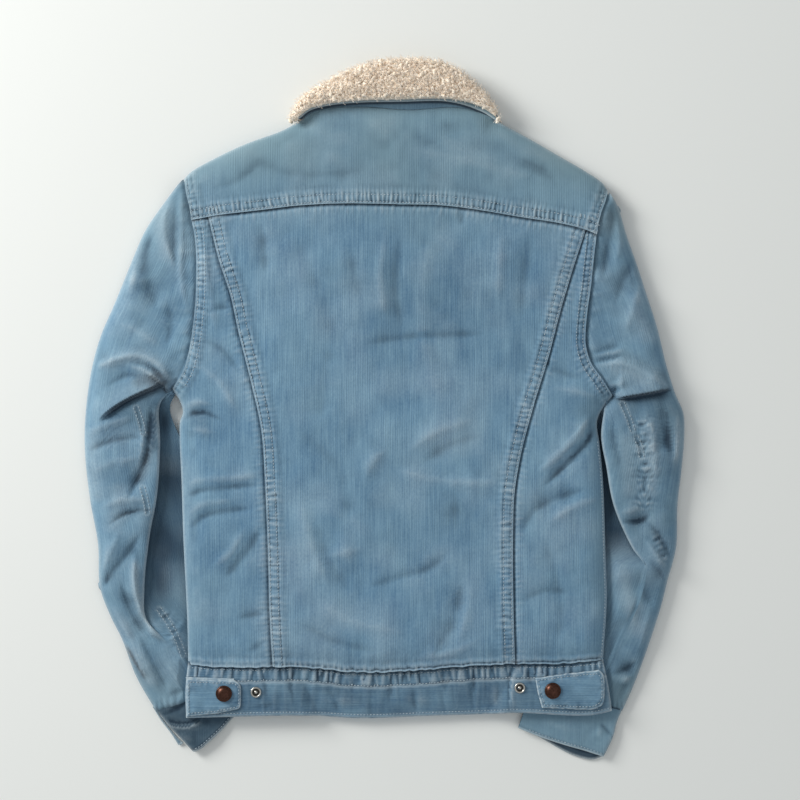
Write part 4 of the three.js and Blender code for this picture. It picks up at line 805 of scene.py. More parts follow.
# Sleeves. Each is one cloth surface from its outer edge over the top layer to the fold edge, under it, and
# out again as the lower layer that runs under the body. Stations go down the arm; places are photo pixels.
# open is how far the fold stands over the lower layer, high and low are the heights of both.
sleeves = {
    "cell": 1.1, "perSpan": 30, "cloth": 1.5, "edge": 5.4, "outerRound": 24, "curlDrop": 4.2, "curlBack": 9.0,
    "left": {
        "dull": 0.0,
        "stations": [
            # outer x y, fold x y, tucked x y, open, high, low
            (183, 179, 185.5, 184, 189.5, 184, 0, 15, 12),
            (160, 207, 191, 214, 195, 214, 0, 19, 16),
            (144, 231, 196, 245, 200, 245, 0, 20.5, 18),
            (128, 268, 197, 280, 201, 281, 0, 21, 18),
            (113, 305, 195, 318, 199, 320, 0, 21, 18),
            (100, 335, 190, 350, 194, 353, 0, 21.5, 17),
            (90, 372, 173, 388, 176, 391, 0, 21, 14),
            (84, 420, 160, 404, 169, 408, 0.75, 20, 7.5),
            (84, 455, 160, 442, 181, 443, 1, 19.5, 6.6),
            (89, 500, 157, 494, 196, 490, 1, 19, 6.4),
            (97, 545, 149, 538, 202, 538, 1, 18.5, 6.4),
            (99, 588, 144, 590, 206, 590, 1, 17, 7.5),
            (110, 618, 146, 618, 214, 617, 0.75, 15.5, 10.5),
            (121, 640, 165, 640, 228, 634, 0.12, 13.5, 10),
            (135, 677, 182, 664, 236, 643, 0, 11, 8),
            (155.5, 713, 196, 699, 243, 649, 0, 8.8, 6.6),
        ],
        "creases": [
            ("ridge", 7, 1.6, (182, 195), (182, 240), (182, 280), (187, 305)),
            ("trough", 6, -1.6, (177, 200), (176, 240), (177, 272)),
            ("ridge", 7, 1.5, (171, 196), (164, 220), (169, 250), (178, 272)),
            ("trough", 13, -2.2, (150, 235), (146, 260), (150, 285), (158, 310)),
            ("ridge", 9, 1.4, (133, 262), (132, 292)),
            ("trough", 8, -1.4, (168, 300), (172, 325), (168, 345)),
            ("ridge", 9, 1.6, (118, 322), (135, 330), (160, 345)),
            ("ridge", 8, 2.4, (98, 366), (112, 361), (130, 356), (145, 357), (160, 366), (170, 380)),
            ("lap", 11, 3.6, (99, 422), (111, 411), (126, 401), (142, 393), (156, 387), (168, 380)),
            ("ridge", 4, 1.3, (132, 366), (146, 371), (158, 379), (166, 387)),
            ("trough", 4, -1.4, (140, 363), (152, 367), (164, 377)),
            ("lap", 6, 1.9, (146, 373), (156, 379), (164, 386), (171, 397)),
            ("trough", 6, -1.6, (112, 384), (128, 376), (140, 376)),
            ("trough", 6, -2.6, (130, 497), (137, 480), (145, 460), (149, 437), (152, 408)),
            ("ridge", 5, 1.5, (139, 470), (143, 450), (145, 425)),
            ("trough", 5, -1.3, (90, 450), (105, 444), (122, 439), (140, 437)),
            ("ridge", 8, 1.2, (90, 432), (110, 424), (132, 418)),
            ("ridge", 9, 1.2, (95, 470), (115, 462), (138, 458)),
            ("trough", 4, -1.5, (112, 523), (125, 514), (137, 511), (150, 510)),
            ("ridge", 8, 1.3, (105, 506), (125, 499), (146, 500)),
            ("ridge", 9, 1.5, (120, 532), (110, 552), (101, 572)),
            ("trough", 7, -2.2, (140, 536), (126, 556), (113, 572), (101, 588)),
            ("ridge", 5, 2.4, (135, 556), (134.5, 576), (137.5, 597), (144, 617), (154, 632), (165, 640)),
            ("trough", 5, -2.2, (122, 584), (127, 600), (133, 614), (142, 628), (154, 640)),
            ("ridge", 8, 1.6, (108, 602), (122, 622), (132, 640)),
            ("lap", 6, 2.4, (122, 642), (130, 654), (139, 668), (147, 681)),
            ("trough", 5, -1.6, (140, 636), (148, 652), (157, 670), (166, 688)),
            ("ridge", 10, 1.6, (138, 642), (147, 664), (157, 690)),
            ("ridge", 9, 1.2, (165, 655), (175, 675), (182, 690)),
            ("trough", 5, -1.2, (170, 696), (184, 690)),
        ],
        "puckered": [((160, 606), (168, 620), (177, 636), (186, 660), 12, 1.5)],
        "seams": [((137, 408), (141, 420), (144, 433)), ((143, 488), (146, 500), (148, 512)),
                  ((159, 610), (167, 621), (176, 636), (183, 655))],
        # reach in mm, amount (painted shade above 0, painted highlight below) and its run
        "upperShadesAndHighlights": [(10, 0.5, (108, 428), (128, 416), (146, 406), (158, 398)),
                        (8, 1.1, (132, 386), (146, 380), (162, 385)),
                        (5, 0.9, (150, 371), (162, 376), (169, 388)),
                        (5, 0.9, (153, 410), (152, 438), (147, 462), (138, 486)),
                        (4, 0.6, (157, 402), (157, 430), (155, 455)),
                        (6, 0.4, (151, 505), (148, 530), (150, 545)),
                        (5, 0.45, (129, 592), (136, 618), (146, 634)),
                        (6, 0.4, (150, 648), (158, 668), (162, 685)),
                        (7, 0.25, (140, 548), (122, 568), (104, 588)),
                        (9, 0.2, (176, 215), (177, 260), (168, 300)),
                        (9, 0.25, (146, 250), (147, 285), (156, 308)),
                        (5, 0.3, (90, 447), (108, 440), (130, 437)),
                        (4, 0.3, (118, 521), (134, 513), (148, 511)),
                        (5, -0.14, (98, 368), (118, 360), (145, 357), (164, 366)),
                        (9, -0.3, (93, 425), (92, 460), (98, 505)),
                        (10, -0.25, (120, 480), (118, 505), (112, 535)),
                        (10, -0.2, (136, 240), (128, 285), (118, 320)),
                        (8, -0.2, (166, 195), (162, 225), (166, 265)),
                        (4, -0.35, (136, 560), (137, 590), (148, 620), (164, 638)),
                        (6, -0.2, (118, 615), (132, 640), (150, 690))],
        "shades": [((170, 480), 17, 0.55), ((165, 545), 18, 0.62), ((160, 585), 12, 0.45),
                   ((166, 420), 9, 0.55), ((190, 560), 12, 0.2)],
    },
    "right": {
        "dull": 0.13,
        "stations": [
            (609.5, 192.5, 606.5, 197, 602, 197, 0, 15, 12),
            (619, 209, 602, 210, 598, 209, 0, 17, 15),
            (628, 237, 596, 235, 592, 234, 0, 19, 17),
            (638, 265, 592.3, 264, 588, 263, 0, 20.5, 18),
            (648, 296, 588.6, 292, 584.5, 291, 0, 21, 18),
            (658, 327, 585, 322, 581, 322, 0, 21.5, 18),
            (667, 364, 588, 355, 584, 357, 0, 22, 17),
            (676, 393, 607, 387, 602, 391, 0, 21, 15),
            (684.5, 414, 604, 411, 597, 414, 0.6, 20, 9),
            (685, 442, 601.3, 436, 594, 440, 1, 19.5, 6.8),
            (682.5, 470, 606.5, 467, 589, 472, 1, 19, 6.4),
            (678.5, 505, 614, 506, 581, 505, 1, 18.5, 7),
            (677, 548, 632, 547, 571, 540, 0.85, 17.5, 9.5),
            (668, 583, 646, 569, 560, 570, 0.1, 16, 12),
            (662, 607, 641, 598, 551, 600, 0, 15, 11),
            (647, 653, 622, 640, 541, 640, 0, 13, 9),
            (633, 690, 606, 675, 537, 662, 0, 11, 8),
            (623, 712, 592, 703, 534, 683, 0, 8.8, 6.6),
        ],
        "creases": [
            ("trough", 7, -1.8, (613, 200), (613, 225), (609, 245), (604, 275)),
            ("ridge", 8, 1.3, (621, 215), (620, 240), (615, 262)),
            ("trough", 10, -2.0, (632, 262), (622, 285), (616, 302)),
            ("ridge", 9, 1.3, (640, 285), (632, 310), (625, 330)),
            ("trough", 6, -1.6, (597, 352), (606, 349), (618, 346)),
            ("ridge", 5, 1.2, (594, 357), (606, 354), (620, 351)),
            ("trough", 5, -1.5, (596, 362), (608, 359), (620, 356)),
            ("ridge", 8, 2.6, (598, 365), (612, 363), (624, 364), (640, 371), (655, 379), (668, 386)),
            ("lap", 11, 3.7, (611, 397), (620, 398), (630, 396.5), (642, 394.5), (656, 392), (673, 388.5)),
            ("trough", 4, -1.8, (614, 386), (616, 393)),
            ("ridge", 5, 1.4, (619, 376), (621, 389)),
            ("trough", 11, -2.4, (660, 402), (665, 430), (671, 455)),
            ("ridge", 10, 1.6, (678, 410), (679, 440), (677, 470)),
            ("ridge", 9, 1.5, (645, 410), (652, 440), (655, 480)),
            ("trough", 7, -1.2, (612, 420), (614, 440), (620, 462)),
            ("trough", 6, -2.4, (624, 521.5), (640, 521), (648, 516)),
            ("ridge", 7, 1.4, (622, 512), (640, 508)),
            ("trough", 5, -1.7, (648, 523), (655, 530), (663, 542), (670, 558)),
            ("ridge", 6, 1.8, (646, 541), (655, 554), (663, 567), (667, 578)),
            ("trough", 6, -2.0, (652, 562), (661, 572), (667, 582)),
            ("trough", 12, -2.6, (641, 572), (645, 588), (652, 604)),
            ("ridge", 12, 1.8, (620, 560), (627, 590), (634, 625)),
            ("trough", 10, -1.8, (610, 600), (612, 640), (608, 670)),
            ("ridge", 9, 1.5, (650, 610), (645, 632), (640, 648)),
            ("trough", 7, -2.4, (617, 674), (626, 670), (637, 664)),
            ("ridge", 7, 1.4, (622, 684), (632, 676)),
            ("trough", 7, -1.5, (620, 700), (626, 690), (630, 682)),
        ],
        "puckered": [((640, 412), (643, 440), (645, 475), (642, 515), 15, 1.3),
                     ((650, 528), (657, 540), (664, 556), (668, 570), 8, 0.8)],
        "seams": [((622, 404), (628, 418), (632, 430)), ((636, 438), (639, 446), (641, 456))],
        "upperShadesAndHighlights": [(6, 0.55, (614, 402), (640, 400), (668, 395)),
                        (9, 0.2, (616, 412), (640, 412), (672, 405)),
                        (9, 0.3, (668, 405), (672, 440), (668, 480)),
                        (10, 0.25, (636, 255), (622, 290), (612, 320)),
                        (7, 0.3, (611, 205), (607, 240), (603, 275)),
                        (7, -0.2, (606, 370), (630, 374), (656, 386)),
                        (4, 0.3, (600, 357), (625, 355), (648, 366), (668, 380)),
                        (5, 0.35, (626, 522), (640, 520), (649, 516)),
                        (6, 0.3, (652, 525), (662, 545), (668, 560)),
                        (10, 0.35, (641, 570), (646, 590), (650, 606)),
                        (10, 0.25, (612, 600), (612, 640), (606, 672)),
                        (7, 0.3, (616, 676), (628, 670), (638, 662)),
                        (6, -0.25, (648, 415), (652, 450), (650, 500)),
                        (8, -0.2, (626, 430), (628, 470), (630, 500)),
                        (8, -0.2, (645, 280), (640, 310), (650, 345)),
                        (9, -0.2, (626, 575), (634, 610), (636, 640))],
        "shades": [((607, 500), 9, 0.6), ((606, 465), 8, 0.6), ((618, 535), 8, 0.3), ((604, 425), 8, 0.5)],
    },
}


def outsideBody(x, y, side):
    line = bodyLines[side]
    edgeX = np.interp(y, line[:, 1], line[:, 0])
    sideways = edgeX - x if side == "left" else x - edgeX
    return np.maximum(sideways, np.interp(x, hem[:, 0], hem[:, 1]) - y)


# A band of small gathers beside a sewn line
def puckerRelief(bands, x, y, seed):
    relief = np.zeros(np.shape(x))
    for k, (*spots, width, height) in enumerate(bands):
        away, along, _ = nearLine(dense(fromPhoto(*spots)), x, y, width * 3)
        ripple = 0.25 * gathers(along, away, 6.5, seed + k) + 0.7 * softNoise(along, away * 0.6, 4.5,
                                                                              seed + 9)
        ripple = ripple + 0.5 * softNoise(along + away, away, 3.2, seed + 10)
        length = along.max()
        ends = smooth(along / 14) * smooth((length - along) / 14)
        relief += height * ends * bell(away, width * 0.7) * ripple
    return relief


def sleeveTop(side, x, y, high, outerAway):
    sleeve = sleeves[side]
    arm = [armholeLeft, yokeEndLeft] if side == "left" else [armholeRight, yokeEndRight]
    seamAway = distance(arm, x, y, 90)
    z = sleeves["edge"] + (high - sleeves["edge"]) * rounded(outerAway / sleeves["outerRound"])
    onSeam = bell(seamAway, 17)
    z = z * (1 - onSeam) + np.minimum(backForm(x, y)[0] - 1.9, high + 3) * onSeam
    creases = 1.9 * creaseRelief(sleeve["creases"], x, y)
    rumple = 0.9 * softNoise(x, y, 42, 21) + 0.9 * softNoise(x, y, 19, 22) + 0.35 * softNoise(x, y, 9, 23)
    rumple = rumple + 0.8 * softNoise(0.3 * x, y + 0.45 * x, 11, 29) * np.clip(0.3 + softNoise(x, y, 45, 30),
                                                                               0, 1)
    puckers = puckerRelief(sleeve["puckered"], x, y, 71)
    capEase = 0.6 * softNoise(x * 0.5, y, 5.5, 24) * bell(seamAway - 6, 7)
    relief = (creases + rumple + puckers + capEase) * smooth(outerAway / 12 + 0.1)
    relief = relief - 1.3 * bell(seamAway, 3.2)
    # Partly rubbed, partly painted highlight on tops and the outer edge; painted shade in troughs and along
    # the seam
    wearAndHighlight = 0.03 * np.clip(creases, 0, 3) + 0.15 * np.clip(puckers, 0, 1) + 0.3 * bell(outerAway, 2.5)
    shade = 0.05 * np.clip(-creases, 0, 4) + 0.15 * np.clip(-puckers, 0, 1) + 0.4 * bell(seamAway, 1.8)
    laps = 1.9 * creaseRelief([crease for crease in sleeve["creases"] if crease[0] == "lap"], x, y)
    ridges, hollows = wornAndPaintedLight(relief - laps)
    # Painted shade and painted highlight along the listed runs
    for reach, amount, *spots in sleeve["upperShadesAndHighlights"]:
        line = dense(fromPhoto(*spots), 5)
        away, along, _ = nearLine(line, x, y, 3 * reach)
        length = runOf(line)[-1]
        there = bell(away, reach) * smooth(along / 12 + 0.2) * smooth((length - along) / 12 + 0.2)
        shade = shade + 0.55 * max(amount, 0) * there
        wearAndHighlight = wearAndHighlight + 0.5 * max(-amount, 0) * there
    return z + relief, wearAndHighlight + ridges, shade + hollows + lapShade(sleeve["creases"], x, y)


def buildSleeve(side):
    sleeve = sleeves[side]
    stations = np.array(sleeve["stations"], float)
    perSpan = sleeves["perSpan"]
    outer, fold, tucked = (dense(fromPhoto(*stations[:, k:k + 2]), perSpan) for k in (0, 2, 4))
    stationRun = np.arange(len(stations)) * perSpan
    rowsRun = np.arange(len(outer))
    opened, high, low = (np.interp(rowsRun, stationRun, stations[:, k]) for k in (6, 7, 8))
    opened = smooth(opened)
    width = np.linalg.norm(outer - fold, axis=1).max()
    share = marks(width, sleeves["cell"], roundSteps, (1.0, 2.2, 3.6, 5.2, 7.0))
    top = outer[:, None] + (fold - outer)[:, None] * share[None, :, None]
    x, y = top[:, :, 0], top[:, :, 1]
    outerAway = distance([outer[::4]], x, y)
    z, wearAndHighlight, shade = sleeveTop(side, x, y, high[:, None] * np.ones(x.shape), outerAway)
    limit = body["tucked"] + 1.6 + 0.62 * np.maximum(0, outsideBody(x, y, side) - 1)
    nearHem = smooth((fromPhoto((0, 560))[0][1] - y) / 60)
    z = z * (1 - nearHem) + np.minimum(z, limit) * nearHem
    foldAway = distance([fold[::4]], x, y)
    z = z - opened[:, None] * sleeves["curlDrop"] * (1 - rounded(foldAway / 11))
    # Painted highlight along the fold edge
    wearAndHighlight = wearAndHighlight + 0.4 * opened[:, None] * bell(foldAway, 1.6)

    # Under the fold edge and out again
    curl = np.array([0.35, 0.3, -0.7, -2.4, -5.0, -8.0, -9.0, -6.5, -3.0, 0.0, 2.0]) * sleeves["curlBack"] / 9
    drop = np.array([0.16, 0.36, 0.56, 0.72, 0.84, 0.92, 0.97, 1.0, 1.0, 1.0, 1.0])
    out = tucked - fold
    reach = np.linalg.norm(out, axis=1)
    out = out / reach[:, None]
    even = np.linspace(0.04, 0.4, len(curl))
    plainReach = even[None] * np.minimum(reach, 8)[:, None]
    steps = opened[:, None] * curl[None] + (1 - opened[:, None]) * plainReach
    curled = fold[:, None] + out[:, None] * steps[:, :, None]
    edgeZ = z[:, -1]
    lowHere = low * opened + np.minimum(edgeZ, low + 2) * (1 - opened)
    curledZ = edgeZ[:, None] + (lowHere - edgeZ)[:, None] * (opened[:, None] * drop
                                                             + (1 - opened[:, None]) * 0.1 * even)
    last = curled[:, -1]
    restShare = np.linspace(0, 1, max(6, int(reach.max() / 2.4)))[1:]
    rest = last[:, None] + (tucked - last)[:, None] * restShare[None, :, None]
    rx, ry = rest[:, :, 0], rest[:, :, 1]
    underBody = distance(armholes, rx, ry, 60) < 6
    tuckZ = np.where(opened > 0.02, body["tucked"], low - 3)
    merged = smooth((rowsRun - stationRun[-4]) / perSpan)
    tuckZ = tuckZ * (1 - merged) + body["tucked"] * merged
    restZ = curledZ[:, -1:] + (tuckZ - curledZ[:, -1])[:, None] * smooth(restShare)[None]
    extra = creaseRelief(sleeve["creases"], rx, ry) + puckerRelief(sleeve["puckered"], rx, ry, 71)
    extra = extra + 0.35 * softNoise(rx, ry, 21, 25)
    restZ = restZ + extra * np.where(underBody, 0, 1) * smooth(outsideBody(rx, ry, side) / 8 + 0.2)
    roof = body["tucked"] + 1.2 + 0.62 * np.maximum(0, outsideBody(rx, ry, side) - 1)
    restZ = np.where(underBody, restZ, np.minimum(restZ, roof))
    restZ = np.where(underBody, np.minimum(restZ, backForm(rx, ry)[0] - 3.5), restZ)
    points = np.concatenate([height3(x, y, z), height3(curled[:, :, 0], curled[:, :, 1], curledZ),
                             height3(rx, ry, restZ)], axis=1)
    zeros = np.zeros(curledZ.shape)
    wearAndHighlight = np.concatenate([wearAndHighlight, zeros, 0.1 * np.clip(extra, 0, 2)], axis=1)
    # Painted shade on the cloth that turns under the fold edge and in the lower layer's hollows
    shadeRest = 0.12 * np.clip(-extra, 0, 3)
    shade = np.concatenate([shade, zeros + 0.5 * opened[:, None], shadeRest], axis=1)
    px, py = points[:, :, 0], points[:, :, 1]
    lower = np.arange(points.shape[1])[None] >= x.shape[1]
    endAway = distance([np.array([outer[-1], fold[-1], tucked[-1]])], px, py, 40)
    endRipple = gathers(px, endAway, 6.0, 75)
    points[:, :, 2] += 0.5 * endRipple * bell(endAway - 4, 6) * (endAway < 20) - 1.2 * bell(endAway, 2.2)
    # Painted shade along the seam at the sleeve's end and between its gathers
    shade = shade + 0.75 * bell(endAway, 1.3) + 0.22 * np.clip(-endRipple, 0, 1) * bell(endAway - 4, 5)
    # Painted shade on the lower layer beside the body, in the recess under the fold and at the listed spots
    beside = bell(np.maximum(outsideBody(px, py, side), 0), 9) * (py < 8)
    recess = np.concatenate([0 * x, 0 * curledZ, bell((restShare * 14)[None] + 0 * rx, 9)], axis=1)
    shade = shade + lower * opened[:, None] * (0.3 * beside + 0.45 * recess)
    for spot, reachMm, amount in sleeve["shades"]:
        cx, cy = fromPhoto(spot)[0]
        shade = shade + lower * amount * bell(np.hypot(px - cx, (py - cy) * 0.6), reachMm)
    shade = shade + 0.1 * np.clip(softNoise(px, py, 36, 26), 0, 1) + sleeve["dull"] * smooth((60 - py) / 60)
    wearAndHighlight = wearAndHighlight + 0.08 * np.clip(softNoise(px, py, 28, 27), 0, 1)
    tint = 0.35 * smooth((py - 120) / 110) + 0.25 * np.clip(softNoise(px, py, 50, 28), 0, 1) + 0.12
    tint = tint + 0.35 * smooth((-240 - py) / 60)
    u = np.concatenate([np.zeros((len(outer), 1)),
                        np.cumsum(np.linalg.norm(np.diff(points, axis=1), axis=2), axis=1)],
                       axis=1)
    along = runOf((outer + fold) / 2)[:, None] * np.ones(px.shape)
    bends = np.arange(x.shape[1] - 6, x.shape[1] + len(curl) + 2)
    for row in sleeve["seams"]:
        away = nearLine(dense(fromPhoto(*row)), px, py, 12)[0]
        points[:, :, 2] -= 0.5 * bell(away, 1.3) * (away < 12)
        shade = shade + 0.25 * bell(away, 1.2)
        wearAndHighlight = wearAndHighlight + 0.15 * bell(away - 2.4, 1.2)
    return points, (wearAndHighlight, shade, tint), np.stack([u, along], axis=-1), bends, outer, tucked


# Both layers of each sleeve; the areas and the upper layer's grid size are printed
sleeveGrids = {}
for side in ("left", "right"):
    points, markings, uv, bends, outer, tucked = buildSleeve(side)
    name = "sleeve" + side.capitalize()
    sleeveGrids[side] = points.reshape(-1, 3)
    shell = clothShell(name + "Upper", points, sleeves["cloth"], markings, uv, coarse=3, keepColumns=bends)
    print(name, "area", round(clothArea(points), 4), "cells", points.shape[:2])
    dress(shell, outerCloth, ["sleeve_" + side + "_upper"])
    # Under layer, flat on the surface
    rows = slice(None, None, 3)
    share = marks(np.linalg.norm(outer - tucked, axis=1).max(), 5.0, (0.2, 0.8, 2.0, 4.0, 6.5, 9.5),
                  (1.0, 3.0, 6.0))
    inward = tucked - outer
    rim = outer + 1.6 * inward / np.linalg.norm(inward, axis=1)[:, None]
    under = rim[rows, None] + (tucked - rim)[rows, None] * share[None, :, None]
    ux, uy = under[:, :, 0], under[:, :, 1]
    edge = distance([rim[::4], tucked[::4]], ux, uy)
    uz = (sleeves["edge"] - 0.5) * (1 - rounded(edge / 12))
    points = height3(ux, uy, uz)
    print("  under layer area", round(clothArea(points), 4))
    shell = clothShell(name + "Lower", points, sleeves["cloth"], None, None, coarse=3, faceDown=True)
    dress(shell, outerCloth, ["sleeve_" + side + "_lower"])
print("sleeves made")

# Waistband: its top edge runs under the body, its lower edge is the hem.
band = {
    "depth": 54, "wall": 4.2, "cloth": 1.6, "frontAtSeam": 11.0, "crown": 1.3, "secondRow": 14.5,
    "hemRow": 4.0,
    "creases": [
        ("trough", 3, -1.1, (286, 668), (290, 684), (293, 700)), ("trough", 3, -1.0, (296, 668), (292, 684)),
        ("trough", 3, -0.9, (353, 673), (352, 690)), ("trough", 4, -1.0, (392, 674), (389, 700)),
        ("trough", 3, -1.1, (440, 670), (444, 688)), ("trough", 3, -0.9, (450, 670), (446, 690)),
        ("trough", 4, -1.2, (475, 668), (472, 696)), ("lap", 5, 1.7, (512, 667), (510, 690), (511, 714)),
        ("trough", 3, -1.3, (527, 668), (531, 684)), ("ridge", 6, 0.8, (320, 700), (360, 702)),
        ("ridge", 7, 0.8, (405, 698), (430, 701)), ("trough", 5, -0.8, (252, 708), (275, 704)),
        ("trough", 5, -0.9, (330, 690), (338, 712)), ("ridge", 5, 0.9, (494, 684), (496, 708)),
        ("trough", 4, -0.8, (262, 672), (268, 700)), ("trough", 4, -0.8, (413, 686), (416, 712)),
    ],
}


def bandShare(x, y):
    return np.clip(distance([waistLine], x, y) / band["depth"], 0, 1)


def bandFront(x, y):
    wedge = band["frontAtSeam"] + (band["wall"] - band["frontAtSeam"]) * bandShare(x, y)
    return np.maximum(bodyLift(x, y) + band["wall"], wedge)


def bandForm(x, y):
    return bandFront(x, y) + 0.3 + band["wall"] + band["crown"] * np.sin(math.pi * bandShare(x, y))


def bandSurface(x, y):
    away, along, side = nearLine(waistLine, x, y)
    down = -away * side
    hemAway = distance([hem], x, y)
    ends = distance([bandEndLeft, bandEndRight], x, y)
    ripple = 0.8 * gathers(along, 0.3 * down, 7.2, 61) + 0.7 * softNoise(x, y * 0.3, 5.0, 62)
    upperHalf = smooth(down / 3) * smooth((band["secondRow"] + 2 - down) / 5)
    lowerHalf = smooth((down - band["secondRow"] - 1) / 4) * smooth(hemAway / 6)
    secondRow = bell(down - band["secondRow"], 1.3)
    hemRow = bell(hemAway - band["hemRow"], 1.2)
    creases = creaseRelief(band["creases"], x, y)
    relief = 0.8 * ripple * upperHalf + 0.28 * ripple * lowerHalf + creases * smooth(hemAway / 5)
    relief = relief - 0.45 * secondRow - 0.3 * hemRow + 0.5 * bell(hemAway - 1.6, 1.5)
    relief = relief - 1.3 * bell(down,
                                 2.6) - 2.4 * (1 - rounded(hemAway / 3.2)) - 2.2 * (1 - rounded(ends / 3))
    relief = relief + 0.35 * softNoise(x, y, 26, 63)
    relief = np.where(down < 0, -1.9, relief)
    ridges, hollows = wornAndPaintedLight(relief)
    # Paler on gathers' tops and ridges, partly rubbed and partly painted highlight, and worn at the hem and
    # ends
    wearAndHighlight = ridges + 0.6 * bell(hemAway, 1.7) * (0.8 + 0.3 * ripple) + 0.3 * np.clip(ripple, 0, 1) * upperHalf
    wearAndHighlight = wearAndHighlight + 0.3 * bell(down - band["secondRow"] - 1.6, 1.4) + 0.1 * np.clip(creases, 0, 2)
    wearAndHighlight = wearAndHighlight + 0.4 * bell(ends, 1.5) + 0.1 * hemRow
    # Painted shade in the hollows, between the gathers, under the body's edge and along the stitched rows;
    # the whole band is drawn darker too
    shade = 0.26 + 0.14 * softNoise(x, y, 13, 65) + hollows + 0.3 * np.clip(-ripple, 0, 1) * upperHalf
    shade = shade + 0.65 * bell(down, 1.9) + 0.16 * np.clip(-creases, 0, 2)
    shade = shade + 0.3 * secondRow + 0.12 * lowerHalf
    return bandForm(x, y) + relief, wearAndHighlight, shade, 0.1 * softNoise(x, y, 30, 64)


def bandGrid(cell, endSteps, upSteps):
    return patch(bandEndLeft, bandEndRight, hem, waistLine,
                 marks(runOf(waistLine)[-1], cell, endSteps, endSteps),
                 marks(band["depth"], cell, *upSteps))


grid = bandGrid(1.5, (0.2, 0.7, 1.4, 2.4), ((0.15, 0.5, 1.0, 1.7, 2.5, 3.5), (0.6, 1.2, 1.9, 2.8)))
grid = grownUnder(grid, "upper")
z, *markings = bandSurface(grid[:, :, 0], grid[:, :, 1])
points = height3(grid[:, :, 0], grid[:, :, 1], z)
inner = height3(grid[:, :, 0], grid[:, :, 1], bandFront(grid[:, :, 0], grid[:, :, 1]) + 0.3)
backBand = clothShell("waistbandBack", points, band["cloth"], markings, uv=points[:, :, 1::-1], inner=inner)
dress(backBand, outerCloth, ["waistband_back"])

grid = bandGrid(4.0, (1.0, 2.5), ((1.0, 2.5), (1.5,)))
x, y = grid[:, :, 0], grid[:, :, 1]
under, upperSide = height3(x, y, bodyLift(x, y)), height3(x, y, bandFront(x, y))
frontBand = clothShell("waistbandFront", under, band["cloth"], None, uv=under[:, :, 1::-1], faceDown=True,
                       coarse=2,
                       inner=upperSide)
dress(frontBand, outerCloth, ["waistband_front"])

# Waist tabs with rubbed, slightly frayed edges
tabs = {
    "clear": 0.45, "wall": 2.4, "row": 2.8,
    "left": [((-206, -317.5), (-177, -314.5), (-152.5, -309.5)), ((-206, -278), (-177, -279), (-156, -279.5)),
             ((-206, -317.5), (-206, -278)),
             ((-152.5, -309.5), (-150.5, -307.5), (-149.5, -294), (-150.5, -284), (-156, -279.5))],
    "right": [((163, -308), (182, -309), (213, -310), (220, -308.5)),
              ((156, -277), (187, -272.5), (222, -268.5)), ((163, -308), (158.5, -292), (156, -277)),
              ((220, -308.5), (226, -304.5), (228, -289), (226.5, -273), (222, -268.5))],
    "buttons": {"left": (-167, -293), "right": (174, -290)},
    "rings": {"left": (-134, -292), "right": (140, -287.5)},
}
tabOutlines = {}


def tabSurface(side, x, y):
    outline = tabOutlines[side]
    edge = distance([outline], x, y)
    puff = 0.5 * smooth(edge / 6) - 0.35 * bell(edge - tabs["row"], 1.0)
    ripple = softNoise(x, y, 3.0, 66)
    z = bandForm(x, y) + tabs["clear"] + tabs["wall"] - 1.6 * (1 - rounded(edge / 2.4)) + puff
    z = z + 0.6 * ripple * bell(edge - 3, 4) + 0.5 * softNoise(x, y, 17, 67)
    fray = np.clip(0.75 + 0.6 * softNoise(x, y, 2.6, 69), 0, 1)
    # Frayed pale edges; paler gather tops as painted highlight; painted shade along the stitched row and
    # between the gathers
    wearAndHighlight = 0.72 * fray * bell(edge, 1.5) + 0.25 * np.clip(ripple, 0, 1) * bell(edge - 3, 4)
    mottle = 0.14 * softNoise(x, y, 8, 70) + 0.1
    shade = mottle + 0.25 * bell(edge - tabs["row"], 1.0) + 0.2 * np.clip(-ripple, 0, 1) * bell(edge - 4, 4)
    return z, wearAndHighlight, shade, 0.05 + 0 * x


for side in ("left", "right"):
    lower, upper, start, end = (gathered(atShares(dense(line), np.linspace(0, 1, 40)), 2.6, 0.35, 68)
                                if k < 2 else dense(line) for k, line in enumerate(tabs[side]))
    tabOutlines[side] = chain(lower, end, upper[::-1], start[::-1])
    edgeSteps = (0.15, 0.5, 1.0, 1.7, 2.6)
    grid = patch(start, end, lower, upper, marks(runOf(upper)[-1], 1.3, edgeSteps, edgeSteps),
                 marks(runOf(end)[-1], 1.3, edgeSteps, edgeSteps))
    z, *markings = tabSurface(side, grid[:, :, 0], grid[:, :, 1])
    points = height3(grid[:, :, 0], grid[:, :, 1], z)
    thing = clothShell("tab" + side.capitalize(), points, 1.7, markings, uv=points[:, :, 1::-1], coarse=3)
    dress(thing, outerCloth, ["tab_" + side])


